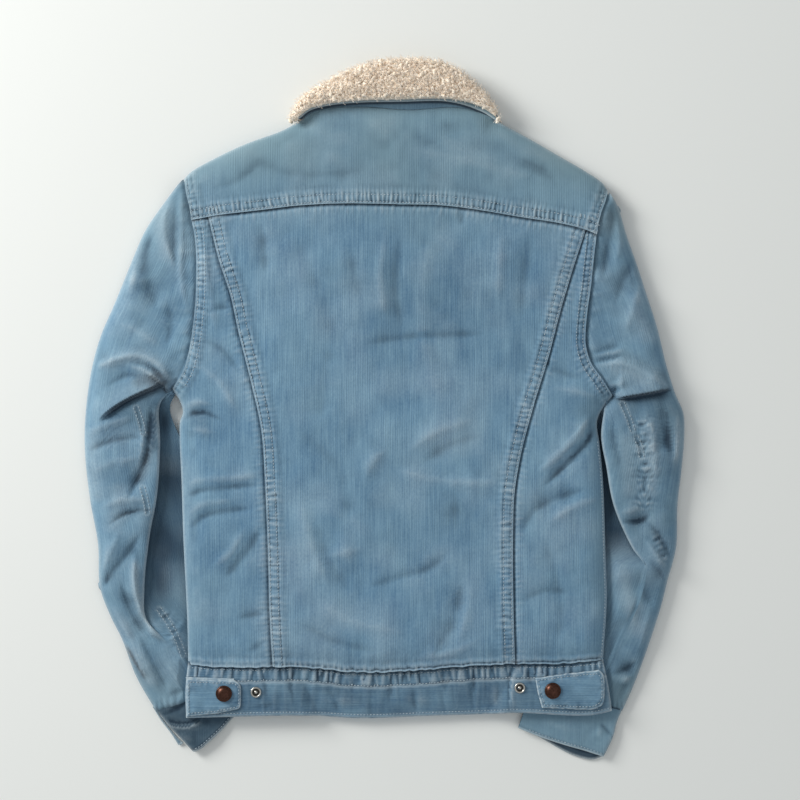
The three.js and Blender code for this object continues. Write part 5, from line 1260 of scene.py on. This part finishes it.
# Turned metal pieces, on the seats that the part gives them
def turnedPiece(name, profile, centre, node, material, darkWithin=0.0, sides=40):
    low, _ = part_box(node)
    seat = low[2]
    angles = np.linspace(0, 2 * math.pi, sides, endpoint=False)
    rings = [(r, z) for r, z in profile if r > 0]
    vertices = [(centre[0] * mm + r * mm * math.cos(a), centre[1] * mm + r * mm * math.sin(a), seat + z * mm)
                for r, z in rings for a in angles]
    faces = [(k * sides + i, k * sides + (i + 1) % sides, (k + 1) * sides + (i + 1) % sides,
              (k + 1) * sides + i)
             for k in range(len(rings) - 1) for i in range(sides)]
    for ring, (_, z), turn in ((0, profile[0], -1), (len(rings) - 1, profile[-1], 1)):
        tip = len(vertices)
        vertices.append((centre[0] * mm, centre[1] * mm, seat + z * mm))
        faces += [(ring * sides + i, ring * sides + (i + 1) % sides, tip)[::turn] for i in range(sides)]
    mesh = bpy.data.meshes.new(name)
    mesh.from_pydata(vertices, [], faces)
    mesh.shade_smooth()
    mesh.set_sharp_from_angle(angle=math.radians(50))
    mesh.materials.append(material)
    # Faces in the ring's recess take the near-black nickel as painted shade
    if darkWithin:
        mesh.materials.append(shadedNickel)
        for face in mesh.polygons:
            reach = math.hypot(face.center[0] / mm - centre[0], face.center[1] / mm - centre[1])
            face.material_index = int(1.9 < reach < darkWithin)
    thing = bpy.data.objects.new(name, mesh)
    scene.collection.objects.link(thing)
    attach(thing, "root")
    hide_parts(node)
    return thing


button = {"radius": 8.5, "height": 5.2}
cap = [(button["radius"] * r, button["height"] * z) for r, z in (
    (0, 0), (0.82, 0), (0.96, 0.05), (1, 0.2), (0.99, 0.4), (0.93, 0.52), (0.87, 0.53), (0.83, 0.5),
    (0.78, 0.6), (0.66, 0.76), (0.5, 0.89), (0.32, 0.97), (0.15, 1), (0, 1))]
stud = [(0, 0), (5.6, 0), (5.8, 0.4), (5.75, 1.1), (5.4, 1.7), (4.9, 2.0), (4.3, 1.9), (3.8, 1.4), (3.5, 0.6),
        (2.2, 0.5), (1.8, 0.9), (1.3, 1.5), (0.7, 1.75), (0, 1.8)]
flatCap = [(0, 0), (7.0, 0), (8.2, 0.3), (8.5, 0.9), (8.3, 1.5), (6.8, 2.0), (0, 2.0)]
for side in ("left", "right"):
    turnedPiece("tabButton" + side.capitalize(), cap, tabs["buttons"][side], "tab_button_" + side, agedCopper)
    turnedPiece("tabRing" + side.capitalize(), stud, tabs["rings"][side], "tab_ring_" + side, wornNickel,
                darkWithin=4.0)
for k in range(6):
    node = "front_button_" + str(k + 1)
    low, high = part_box(node)
    turnedPiece("frontButton" + str(k + 1), flatCap,
                ((low[0] + high[0]) / 2 / mm, (low[1] + high[1]) / 2 / mm), node,
                agedCopper, sides=24)
print("waistband, tabs and metal made")

# Cuffs: a lower and an upper layer each, rubbed pale at the mouth
cuffs = {
    "wall": 3.0, "open": 1.8, "cell": 1.5,
    "left": {
        "dark": 0.82,
        "top": [(-236, -315.5), (-221, -311), (-207, -304), (-148, -247)],
        "mouthUpper": [(-200, -356), (-192.5, -353), (-184, -346), (-170, -333), (-158, -320), (-112, -283)],
        "mouthUnder": [(-200, -356), (-192.5, -353), (-184, -346), (-170, -333), (-158, -320), (-112, -283)],
        "outer": [(-236, -315.5), (-224, -330), (-210, -345), (-200, -356)],
        "inner": [(-148, -247), (-130, -265), (-112, -283)],
        "creases": [("lap", 7, 3.4, (203, 716), (197, 722), (189, 726), (180, 727), (171, 725), (163, 719)),
                    ("lap", 5, 2.4, (146, 702), (156, 715), (166, 729), (177, 744)),
                    ("trough", 3, -0.9, (160, 716), (172, 712), (187, 705)),
                    ("ridge", 5, 0.9, (180, 735), (192, 742))],
    },
    "right": {
        "dark": 0.06,
        "top": [(247, -313), (230, -309), (200, -298), (155, -283)],
        "mouthUpper": [(228, -361), (208, -354.5), (187, -348.5), (161, -340), (139, -331)],
        "mouthUnder": [(228, -361), (216.5, -364.5), (198, -360.5), (182, -353), (161, -341), (139, -331)],
        "outer": [(247, -313), (242, -325), (238, -340), (228, -361)],
        "inner": [(155, -283), (148, -305), (139, -331)],
        "creases": [("trough", 3.5, -2.0, (602, 725), (607, 731), (614, 738)),
                    ("ridge", 5, 1.0, (598, 728), (603, 738)), ("ridge", 6, 0.8, (545, 724), (585, 733))],
    },
}
cuffMouths = {}


def cuffSurface(side, x, y, upper):
    cuff = cuffs[side]
    mouth = cuffMouths[side, upper]
    away = distance([mouth], x, y)
    ends = distance([dense(cuff["outer"])], x, y)
    opened = cuffs["open"] * smooth((outsideBody(x, y, side) - 4) / 25)
    z = cuffs["wall"] + (0.3 + cuffs["wall"] + opened if upper else 0)
    out = smooth((outsideBody(x, y, side) + 2) / 10)
    relief = creaseRelief(cuff["creases"], x, y) * out if upper else 0 * x
    relief = relief + (0.45 * softNoise(x, y, 16, 81) + 0.2 * softNoise(x, y, 6, 82)) * out
    relief = relief - 0.3 * bell(away - 3,
                                 1.1) * out - 1.1 * (1 - rounded(away / 2.2)) - 1.6 * (1 - rounded(ends / 4))
    ridges, hollows = wornAndPaintedLight(relief)
    # Worn pale at the mouth and ends, with painted highlight on ridges; painted shade in hollows, at the
    # stitched row and on the under layer inside the mouth; the left cuff is drawn darker overall
    wearAndHighlight = 0.6 * bell(away, 1.6) + 0.35 * bell(ends, 1.6) + ridges
    shade = cuff["dark"] + hollows + 0.1 * np.clip(-relief, 0, 2) + 0.2 * bell(away - 3, 1) + (0 if upper
                                                                                               else 0.85)
    return z + relief, wearAndHighlight, shade, 0.45 + 0 * x


for side in ("left", "right"):
    cuff = cuffs[side]
    for upper in (True, False):
        mouth = dense(cuff["mouthUpper" if upper else "mouthUnder"])
        cuffMouths[side, upper] = mouth
        top, outer, inner = dense(cuff["top"]), dense(cuff["outer"]), dense(cuff["inner"])
        steps = (0.15, 0.5, 1.0, 1.8, 2.8)
        if side == "left":
            lines = outer[::-1], inner[::-1], mouth, top
        else:
            lines = inner[::-1], outer[::-1], mouth[::-1], top[::-1]
        grid = patch(*lines, marks(runOf(mouth)[-1], cuffs["cell"], steps, steps),
                     marks(runOf(outer)[-1], cuffs["cell"], steps, ()))
        grid = grownUnder(grid, "upper", (2.0, 4.0))
        x, y = grid[:, :, 0], grid[:, :, 1]
        z, *markings = cuffSurface(side, x, y, upper)
        layer = "upper" if upper else "under"
        points = height3(x, y, z)
        inside = height3(x, y, np.maximum(z - 1.4, cuffs["wall"] + 0.3 if upper else 0))
        thing = clothShell("cuff" + side.capitalize() + layer.capitalize(), points, 1.4, markings,
                           uv=points[:, :, :2], coarse=3, inner=inside)
        dress(thing, outerCloth, ["cuff_" + side + "_" + layer])

# End of the left cuff's opening
flap = [dense(line) for line in (((-243, -309.5), (-234, -324), (-224, -337), (-216, -349.5)),
                                 ((-236.5, -316.5), (-228, -328), (-219, -339), (-211, -347)))]
grid = patch(flap[0][::-1], flap[1][::-1], np.array([flap[0][-1], flap[1][-1]]),
             np.array([flap[0][0], flap[1][0]]),
             marks(7, 1.2, (0.3,), (0.3,)), marks(48, 1.5, (0.3,), (0.3,)))
x, y = grid[:, :, 0], grid[:, :, 1]
edge = distance([chain(flap[0], flap[1][::-1])], x, y)
markings = (0.6 * bell(edge, 1.2), 0.35 + 0 * x, 0.3 + 0 * x)
thing = clothShell("cuffLeftFlap", height3(x, y, 3.0 - 0.9 * (1 - rounded(edge / 1.6))), 1.6, markings,
                   coarse=2)
dress(thing, outerCloth, ["cuff_left_flap"])
print("cuffs made")

# Fronts under the back, flat on the surface, and their closing strip between them
fronts = {"left": -7.85, "right": 33.85, "edge": 7.9, "round": 14, "cloth": 1.5, "stripUnder": 2.55,
          "cell": 5.0}
topEdge = chain(shoulderLeft, neckline, shoulderRight)
rim = [sideLeft, sideRight, armholeLeft, armholeRight, yokeEndLeft, yokeEndRight, shoulderLeft, shoulderRight]


def frontPiece(name, node, left, right, span, under):
    lower, upper = cutLine(waistLine, *span), cutLine(topEdge, *span)
    left = chain(*left) if left else np.array([lower[0], upper[0]])
    right = chain(*right) if right else np.array([lower[-1], upper[-1]])
    steps = (0.15, 0.6, 1.4, 2.6, 4.2, 6.4, 9.2, 12.5)
    grid = patch(left, right, lower, upper, marks(span[1] - span[0], fronts["cell"], steps, steps),
                 marks(runOf(left)[-1], fronts["cell"], (1.0,), steps))
    x, y = grid[:, :, 0], grid[:, :, 1]
    points = height3(x, y, under(x, y))
    dress(clothShell(name, points, fronts["cloth"], (0 * x, 0 * x, 0 * x + 0.2), faceDown=True, coarse=2),
          outerCloth,
          [node])


def frontUnder(x, y):
    raised = fronts["edge"] * (1 - rounded(distance(rim, x, y) / fronts["round"]))
    return np.maximum(bodyLift(x, y), raised)


frontPiece("frontLeft", "front_left", (sideLeft, armholeLeft, yokeEndLeft), None, (-209, fronts["left"]),
           frontUnder)
frontPiece("frontRight", "front_right", None, (sideRight, armholeRight, yokeEndRight), (fronts["right"], 232),
           frontUnder)
frontPiece("frontPlacket", "front_placket", None, None, (fronts["left"], fronts["right"]),
           lambda x, y: fronts["stripUnder"] + 0 * x)
print("fronts made")

# Collar: under-collar and stand of cloth, then the sherpa leaf and the front part
collar = {
    "leafLower": [(-88.5, 305), (-78, 313), (-57, 318.5), (-26, 321.5), (16, 322.5), (57, 323.5), (78, 321.5),
                  (99, 315), (114.5, 305)],
    "leafOuter": [(-99, 303), (-93.5, 315), (-83, 328.5), (-67, 338), (-52, 346.5), (-36, 354), (-15.5, 361),
                  (5, 364), (24, 365), (42, 364.5), (57, 362), (73, 356), (83, 348.5), (94, 339),
                  (104, 328.5), (112, 318), (119, 303)],
    "plane": 17.5, "loft": 13.5, "round": 20, "pileInset": 2.4, "pileDepth": 2.4, "foldShare": 0.94,
}
leafLower, leafOuter = dense(collar["leafLower"]), dense(collar["leafOuter"])


def offsetLine(line, away):
    run = np.gradient(line, axis=0)
    run = run / np.maximum(np.linalg.norm(run, axis=1), 1e-9)[:, None]
    return line + away * np.stack([-run[:, 1], run[:, 0]], axis=1)


def strip(lower, upper, cell, near, far, across=160):
    shares = np.linspace(0, 1, across)
    low, high = atShares(lower, shares), atShares(upper, shares)
    rows = marks(45, cell, near, far)
    return low[None] + (high - low)[None] * rows[:, None, None]


def partWay(lower, upper, share):
    shares = np.linspace(0, 1, 120)
    low, high = atShares(lower, shares), atShares(upper, shares)
    return low + (high - low) * share


# Under-collar, whose edge shows below the pile, wider to the right
edgeDrop = np.interp(leafLower[:, 0], [-88, -20, 60, 95, 114], [0.8, 1.0, 1.4, 3.4, 2.6])
edgeLine = np.stack([leafLower[:, 0], leafLower[:, 1] - edgeDrop], axis=1)
grid = strip(edgeLine, partWay(leafLower, leafOuter, collar["foldShare"]), 2.0, (0.1, 0.4, 0.9, 1.6, 2.4), ())
x, y = grid[:, :, 0], grid[:, :, 1]
fromEdge = distance([edgeLine], x, y)
z = 17.2 - 1.6 * (1 - rounded(fromEdge / 1.8)) + 0.2 * softNoise(x, y, 6, 91)
markings = (0.75 * bell(fromEdge, 1.6), 0.15 + 0 * x, 0.8 + 0 * x)
dress(clothShell("collarUnder", height3(x, y, z), 1.5, markings), outerCloth, ["collar_edge"])
grid = strip(offsetLine(neckline, 0.3), partWay(neckline, leafOuter, collar["foldShare"]), 3.0,
             tuple(np.arange(0.5, 9, 0.5)), ())
x, y = grid[:, :, 0], grid[:, :, 1]
# Painted shadow of the collar's edge on the stand
stand = clothShell("collarStand", height3(x, y, 14.3 + 0.3 * softNoise(x, y, 12, 92)), 1.5,
                   (0.05 + 0 * x, 0.1 + 2.4 * bell(distance([edgeLine], x, y), 1.7), 0.15 + 0 * x))
dress(stand, outerCloth, ["collar_stand"])


# Pile leaf: the knitted ground, lumpy under the curls
def leafTop(x, y):
    outer = rounded(distance([leafOuter], x, y) / collar["round"])
    lower = 0.45 + 0.55 * rounded(distance([leafLower], x, y) / 13)
    return collar["plane"] + 3 + (collar["loft"] - 3) * np.minimum(outer, lower)


grid = strip(offsetLine(leafLower, 0.8), offsetLine(leafOuter, -collar["pileInset"]), 1.6, (0.2, 0.7, 1.5),
             (0.3, 0.9, 1.8, 3.0))
x, y = grid[:, :, 0], grid[:, :, 1]
lump = 0.9 * softNoise(x, y, 5.5, 93) + 0.5 * softNoise(x, y, 2.9, 94)
fromLower = distance([leafLower], x, y)
z = leafTop(x, y) - collar["pileDepth"] + lump - 1.6 * (1 - rounded((fromLower - 0.8) / 3))
z = np.maximum(z, collar["plane"] + 0.6)
free = (fromLower < 2.2).astype(float)
leafPoints = height3(x, y, z)
leafThing = clothShell("collarLeaf", leafPoints, 2.0, (free, 0 * x, 0 * x), coarse=4,
                       inner=height3(x, y, collar["plane"] + 0 * x))
grid = strip(offsetLine(neckline, 0.3), partWay(neckline, leafOuter, 0.97), 2.5, (1.0,),
             (0.3, 0.9, 1.8, 3.0, 5, 8, 11))
x, y = grid[:, :, 0], grid[:, :, 1]
z = 5.6 + 4 * (1 - rounded(distance([leafOuter], x, y) / 14)) + 0.6 * softNoise(x, y, 5.5, 95)
frontThing = clothShell("collarFront", height3(x, y, z), 3.0, (0 * x, 0 * x, 0 * x), coarse=3, faceDown=True)


# Node tree: groups of named inputs, made once and used by a piece's modifier
def newTree(name, sockets):
    tree = bpy.data.node_groups.new(name, "GeometryNodeTree")
    tree.interface.new_socket("Geometry", in_out="INPUT", socket_type="NodeSocketGeometry")
    for label, kind, value in sockets:
        tree.interface.new_socket(label, in_out="INPUT",
                                  socket_type="NodeSocket" + kind).default_value = value
    tree.interface.new_socket("Geometry", in_out="OUTPUT", socket_type="NodeSocketGeometry")
    return tree, addNode(tree, "NodeGroupInput").outputs


def finishTree(tree, geometry, material):
    real = addNode(tree, "GeometryNodeRealizeInstances", None, {"Geometry": geometry}).outputs[0]
    softened = addNode(tree, "GeometryNodeSetShadeSmooth", None, {"Geometry": real}).outputs[0]
    named = addNode(tree, "GeometryNodeSetMaterial", None,
                    {"Geometry": softened, "Material": material}).outputs[0]
    addNode(tree, "NodeGroupOutput", None, {"Geometry": named})
    return tree


def grown(name, source, tree, values):
    thing = bpy.data.objects.new(name, source)
    scene.collection.objects.link(thing)
    modifier = thing.modifiers.new("grow", "NODES")
    modifier.node_group = tree
    identifiers = {item.name: item.identifier for item in tree.interface.items_tree if item.in_out == "INPUT"}
    for label, value in values.items():
        modifier[identifiers[label]] = value
    evaluated = thing.evaluated_get(bpy.context.evaluated_depsgraph_get())
    mesh = bpy.data.meshes.new_from_object(evaluated)
    thing.modifiers.remove(modifier)
    thing.data = mesh
    print(name, "triangles", sum(len(face.vertices) - 2 for face in mesh.polygons))
    return thing


# Roots on the side of the leaf that faces outwards, clear of its bare edge, each with its own tone
def pileRoots(tree, given):
    normal = addNode(tree, "ShaderNodeSeparateXYZ", None,
                     {"Vector": addNode(tree, "GeometryNodeInputNormal").outputs[0]}).outputs["Z"]
    outward = addNode(tree, "FunctionNodeCompare", {"operation": "GREATER_THAN"},
                      {0: mathNode(tree, "MULTIPLY", normal, given["Facing"]), 1: -0.3}).outputs[0]
    bare = addNode(tree, "GeometryNodeInputNamedAttribute", {"data_type": "FLOAT_COLOR"},
                   {"Name": "wearHighlightShadeTint"})
    bareShare = addNode(tree, "FunctionNodeSeparateColor", None,
                        {"Color": bare.outputs["Attribute"]}).outputs[0]
    covered = addNode(tree, "FunctionNodeCompare", {"operation": "LESS_THAN"},
                      {0: bareShare, 1: 0.5}).outputs[0]
    chosen = addNode(tree, "FunctionNodeBooleanMath", {"operation": "AND"},
                     {0: outward, 1: covered}).outputs[0]
    spread = addNode(tree, "GeometryNodeDistributePointsOnFaces", {"distribute_method": "POISSON"},
                     {"Mesh": given["Geometry"], "Selection": chosen, "Distance Min": given["Spacing"],
                      "Density Max": 1e6, "Seed": given["Seed"]})
    tone = addNode(tree, "FunctionNodeRandomValue", None, {"Seed": given["Seed"]}).outputs[1]
    toned = addNode(tree, "GeometryNodeStoreNamedAttribute", {"data_type": "FLOAT", "domain": "POINT"},
                    {"Geometry": spread.outputs["Points"], "Name": "lockTone", "Value": tone}).outputs[0]
    return toned, spread.outputs["Rotation"]


# One lock of sherpa: a short thick spiral of wool, tipped at random
locks = {"spacing": 3.3 * mm, "wool": 1.7 * mm, "curl": 2.3 * mm, "stand": 1.2 * mm, "seed": 5}


def lockTree():
    tree, given = newTree("sherpaLocks", [("Spacing", "Float", 0.002), ("Wool", "Float", 0.001),
                                          ("Curl", "Float", 0.002), ("Stand", "Float", 0.002),
                                          ("Facing", "Float", 1.0), ("Seed", "Int", 1)])
    toned, rotation = pileRoots(tree, given)
    spiral = addNode(tree, "GeometryNodeCurveSpiral", None,
                     {"Resolution": 7, "Rotations": 1.1, "Start Radius": 0.5 * mm,
                      "End Radius": given["Curl"],
                      "Height": given["Stand"]}).outputs[0]
    ring = addNode(tree, "GeometryNodeCurvePrimitiveCircle", None, {"Resolution": 6, "Radius": given["Wool"]})
    lock = addNode(tree, "GeometryNodeCurveToMesh", None,
                   {"Curve": spiral, "Profile Curve": ring.outputs[0], "Fill Caps": True}).outputs[0]
    turn = addNode(tree, "FunctionNodeRandomValue", {"data_type": "FLOAT_VECTOR"},
                   {0: (-0.9, -0.9, 0.0), 1: (0.9, 0.9, 6.28), "Seed": given["Seed"]}).outputs[0]
    scaled = addNode(tree, "FunctionNodeRandomValue", {"data_type": "FLOAT_VECTOR"},
                     {0: (0.7, 0.7, 0.6), 1: (1.3, 1.3, 1.25), "Seed": 17}).outputs[0]
    turned = addNode(tree, "FunctionNodeRotateRotation", {"rotation_space": "LOCAL"},
                     {"Rotation": rotation, "Rotate By": turn}).outputs[0]
    placed = addNode(tree, "GeometryNodeInstanceOnPoints", None,
                     {"Points": toned, "Instance": lock, "Rotation": turned, "Scale": scaled}).outputs[0]
    return finishTree(tree, placed, pileLocks)


# Loose wool over the curls: thin bent strands that lean together in tufts
strands = {"spacing": 1.05 * mm, "wool": 0.24 * mm, "length": 6.6 * mm, "seed": 8}


def strandTree():
    tree, given = newTree("sherpaStrands", [("Spacing", "Float", 0.001), ("Wool", "Float", 0.0003),
                                            ("Length", "Float", 0.005), ("Facing", "Float", 1.0),
                                            ("Seed", "Int", 1)])
    toned, rotation = pileRoots(tree, given)
    bent = addNode(tree, "GeometryNodeCurvePrimitiveBezierSegment", None,
                   {"Resolution": 4, "Start": (0, 0, -0.2), "Start Handle": (0, 0, 0.5),
                    "End Handle": (0.1, 0.05, 0.95), "End": (0.5, 0.15, 0.9)}).outputs[0]
    stretch = addNode(tree, "ShaderNodeCombineXYZ", None,
                      {"X": given["Length"], "Y": given["Length"], "Z": given["Length"]}).outputs[0]
    sized = addNode(tree, "GeometryNodeTransform", None, {"Geometry": bent, "Scale": stretch}).outputs[0]
    ring = addNode(tree, "GeometryNodeCurvePrimitiveCircle", None, {"Resolution": 3, "Radius": given["Wool"]})
    strand = addNode(tree, "GeometryNodeCurveToMesh", None,
                     {"Curve": sized, "Profile Curve": ring.outputs[0], "Fill Caps": True}).outputs[0]
    tuft = addNode(tree, "ShaderNodeTexNoise", None, {"Scale": 210.0, "Detail": 1.0}).outputs["Color"]
    centred = addNode(tree, "ShaderNodeVectorMath", {"operation": "SUBTRACT"},
                      {0: tuft, 1: (0.5, 0.5, 0.5)}).outputs[0]
    leaning = addNode(tree, "ShaderNodeVectorMath", {"operation": "MULTIPLY"},
                      {0: centred, 1: (5, 5, 8)}).outputs[0]
    stray = addNode(tree, "FunctionNodeRandomValue", {"data_type": "FLOAT_VECTOR"},
                    {0: (-0.35, -0.35, -0.6), 1: (0.35, 0.35, 0.6), "Seed": given["Seed"]}).outputs[0]
    turn = addNode(tree, "ShaderNodeVectorMath", {"operation": "ADD"}, {0: leaning, 1: stray}).outputs[0]
    turned = addNode(tree, "FunctionNodeRotateRotation", {"rotation_space": "LOCAL"},
                     {"Rotation": rotation, "Rotate By": turn}).outputs[0]
    scaled = addNode(tree, "FunctionNodeRandomValue", {"data_type": "FLOAT_VECTOR"},
                     {0: (0.6, 0.6, 0.6), 1: (1.2, 1.2, 1.15), "Seed": 23}).outputs[0]
    placed = addNode(tree, "GeometryNodeInstanceOnPoints", None,
                     {"Points": toned, "Instance": strand, "Rotation": turned, "Scale": scaled}).outputs[0]
    return finishTree(tree, placed, pileLocks)


sherpaTree = lockTree()
woolTree = strandTree()
lockSize = {"Spacing": locks["spacing"], "Wool": locks["wool"], "Curl": locks["curl"],
            "Stand": locks["stand"]}
pile = grown("collarLocks", leafThing.data, sherpaTree, {**lockSize, "Facing": 1.0, "Seed": locks["seed"]})
pileUnder = grown("collarFrontLocks", frontThing.data, sherpaTree,
                  {**lockSize, "Spacing": 3.2 * mm, "Facing": -1.0, "Seed": 9})
strandSize = {"Spacing": strands["spacing"], "Wool": strands["wool"], "Length": strands["length"]}
fluff = grown("collarStrands", leafThing.data, woolTree,
              {**strandSize, "Facing": 1.0, "Seed": strands["seed"]})
for thing in (pile, pileUnder, fluff):
    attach(thing, "root")
dress(leafThing, pileBase, ["collar_leaf"])
dress(frontThing, pileBase, ["collar_front"])
print("collar made")


# Topstitching: rows of single stitches laid on the finished surfaces
stitches = {"pitch": 3.4 * mm, "length": 1.35 * mm, "thickness": 0.44 * mm, "above": 0.2}


def stitchTree():
    tree, given = newTree("topstitching", [("Pitch", "Float", 0.0034), ("Length", "Float", 0.0013),
                                           ("Thickness", "Float", 0.0004)])
    curve = addNode(tree, "GeometryNodeMeshToCurve", None, {"Mesh": given["Geometry"]}).outputs[0]
    spots = addNode(tree, "GeometryNodeCurveToPoints", {"mode": "LENGTH"},
                    {"Curve": curve, "Length": given["Pitch"]})
    turned = addNode(tree, "FunctionNodeAlignRotationToVector", {"axis": "X"},
                     {"Vector": spots.outputs["Tangent"]}).outputs[0]
    bead = addNode(tree, "GeometryNodeMeshIcoSphere", None, {"Radius": 1.0, "Subdivisions": 1}).outputs[0]
    size = addNode(tree, "ShaderNodeCombineXYZ", None,
                   {"X": given["Length"], "Y": given["Thickness"], "Z": given["Thickness"]}).outputs[0]
    uneven = addNode(tree, "FunctionNodeRandomValue", {"data_type": "FLOAT_VECTOR"},
                     {0: (0.75, 0.75, 0.8), 1: (1.15, 1.2, 1.1), "Seed": 3}).outputs[0]
    scaled = addNode(tree, "ShaderNodeVectorMath", {"operation": "MULTIPLY"}, {0: size, 1: uneven}).outputs[0]
    placed = addNode(tree, "GeometryNodeInstanceOnPoints", None,
                     {"Points": spots.outputs["Points"], "Instance": bead, "Rotation": turned,
                      "Scale": scaled})
    return finishTree(tree, placed.outputs[0], thread)


threadTree = stitchTree()


def between(line, start, end):
    length = runOf(line)[-1]
    return atShares(line, np.linspace(start / length, 1 - end / length, max(6, int(length / 3))))


def stitchRows(name, rows, material=thread):
    vertices, edges = [], []
    for line, surface in rows:
        first = len(vertices)
        z = surface(line[:, 0], line[:, 1]) + stitches["above"]
        vertices += [(px * mm, py * mm, pz * mm) for (px, py), pz in zip(line, z)]
        edges += [(k, k + 1) for k in range(first, len(vertices) - 1)]
    mesh = bpy.data.meshes.new(name)
    mesh.from_pydata(vertices, edges, [])
    thing = grown(name, mesh, threadTree, {"Pitch": stitches["pitch"], "Length": stitches["length"],
                                           "Thickness": stitches["thickness"]})
    thing.data.materials[0] = material
    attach(thing, "root")
    return thing


def onPanel(name):
    return lambda x, y: backSurface(x, y, panels[name]["seams"])[0]


yokeZ, centreZ, leftZ, rightZ = (onPanel(name) for name in panels)
stitchRows("stitchesBack", [
    (between(offsetLine(yokeSeam, 2.0), 1, 1), yokeZ), (between(offsetLine(yokeSeam, 9.6), 2, 2), yokeZ),
    (between(offsetLine(princessLeft, -1.9), 2, 2), centreZ),
    (between(offsetLine(princessLeft, -9.8), 2, 8), centreZ),
    (between(offsetLine(princessRight, 1.9), 2, 2), centreZ),
    (between(offsetLine(princessRight, 9.8), 2, 8), centreZ),
    (between(offsetLine(armholeLeft, -2.6), 8, 1), leftZ),
    (between(offsetLine(armholeLeft, -9.4), 12, 2), leftZ),
    (between(offsetLine(armholeRight, 2.6), 8, 1), rightZ),
    (between(offsetLine(armholeRight, 9.4), 12, 2), rightZ),
    (between(offsetLine(sideRight, 2.4), 3, 55), rightZ),
    (between(offsetLine(yokeEndLeft, -2.6), 1, 4), yokeZ),
    (between(offsetLine(yokeEndRight, 2.6), 1, 4), yokeZ),
])


def bandZ(x, y):
    return bandSurface(x, y)[0]


# The highest cloth of a sleeve at each spot
def onSleeve(side, x, y):
    grid = sleeveGrids[side]
    return np.array([grid[np.hypot(grid[:, 0] - px, grid[:, 1] - py) < 1.5, 2].max(initial=6) for px,
                     py in zip(x, y)])


# Short dense rows that hold the yoke's corners
bartackThread = threadMaterial("rustyBartackThread", "#6F5A50", "#A58F80")
bartackRows = {"left": ((203, 212.5), (218, 209.5)), "right": ((580, 216.5), (592, 219.5))}
for side, ends in bartackRows.items():
    row = fromPhoto(*ends)
    stitchRows("bartack" + side.capitalize(), [(atShares(row + (0, shift), np.linspace(0, 1, 8)), yokeZ)
                                               for shift in (-0.9, 0, 0.9, 1.8)], bartackThread)


stitchRows("stitchesBand", [
    (between(offsetLine(waistLine, -3.4), 3, 3), bandZ),
    (between(offsetLine(waistLine, -band["secondRow"]), 3, 3), bandZ),
    (between(offsetLine(hem, band["hemRow"]), 3, 3), bandZ),
])
for side in ("left", "right"):
    loop = tabOutlines[side]
    inward = loop + (loop.mean(axis=0) - loop) * np.array([0.085, 0.17])
    stitchRows("stitchesSleeve" + side.capitalize(),
               [(atShares(offsetLine(dense(fromPhoto(*row)), shift), np.linspace(0, 1, 12)),
                 lambda x, y, side=side: onSleeve(side, x, y))
                for row in sleeves[side]["seams"] for shift in (-2.4, 2.4)])
    stitchRows("stitchesTab" + side.capitalize(), [(atShares(inward, np.linspace(0, 1, 90)),
                                                    lambda x, y, side=side: tabSurface(side, x, y)[0])])
    mouth = cuffMouths[side, True]
    inner = offsetLine(mouth, 3.0 if side == "left" else -3.0)
    stitchRows("stitchesCuff" + side.capitalize(), [(between(inner, 4, 12),
                                                     lambda x, y, side=side: cuffSurface(side, x, y,
                                                                                         True)[0])])
print("stitches made")

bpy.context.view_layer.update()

# Floor
floorMesh = bpy.data.meshes.new("floor")
floorMesh.from_pydata([(-3, -3, 0), (3, -3, 0), (3, 3, 0), (-3, 3, 0)], [], [(0, 1, 2, 3)])
floorMesh.materials.append(floorMaterial)
floor = bpy.data.objects.new("floor", floorMesh)
scene.collection.objects.link(floor)
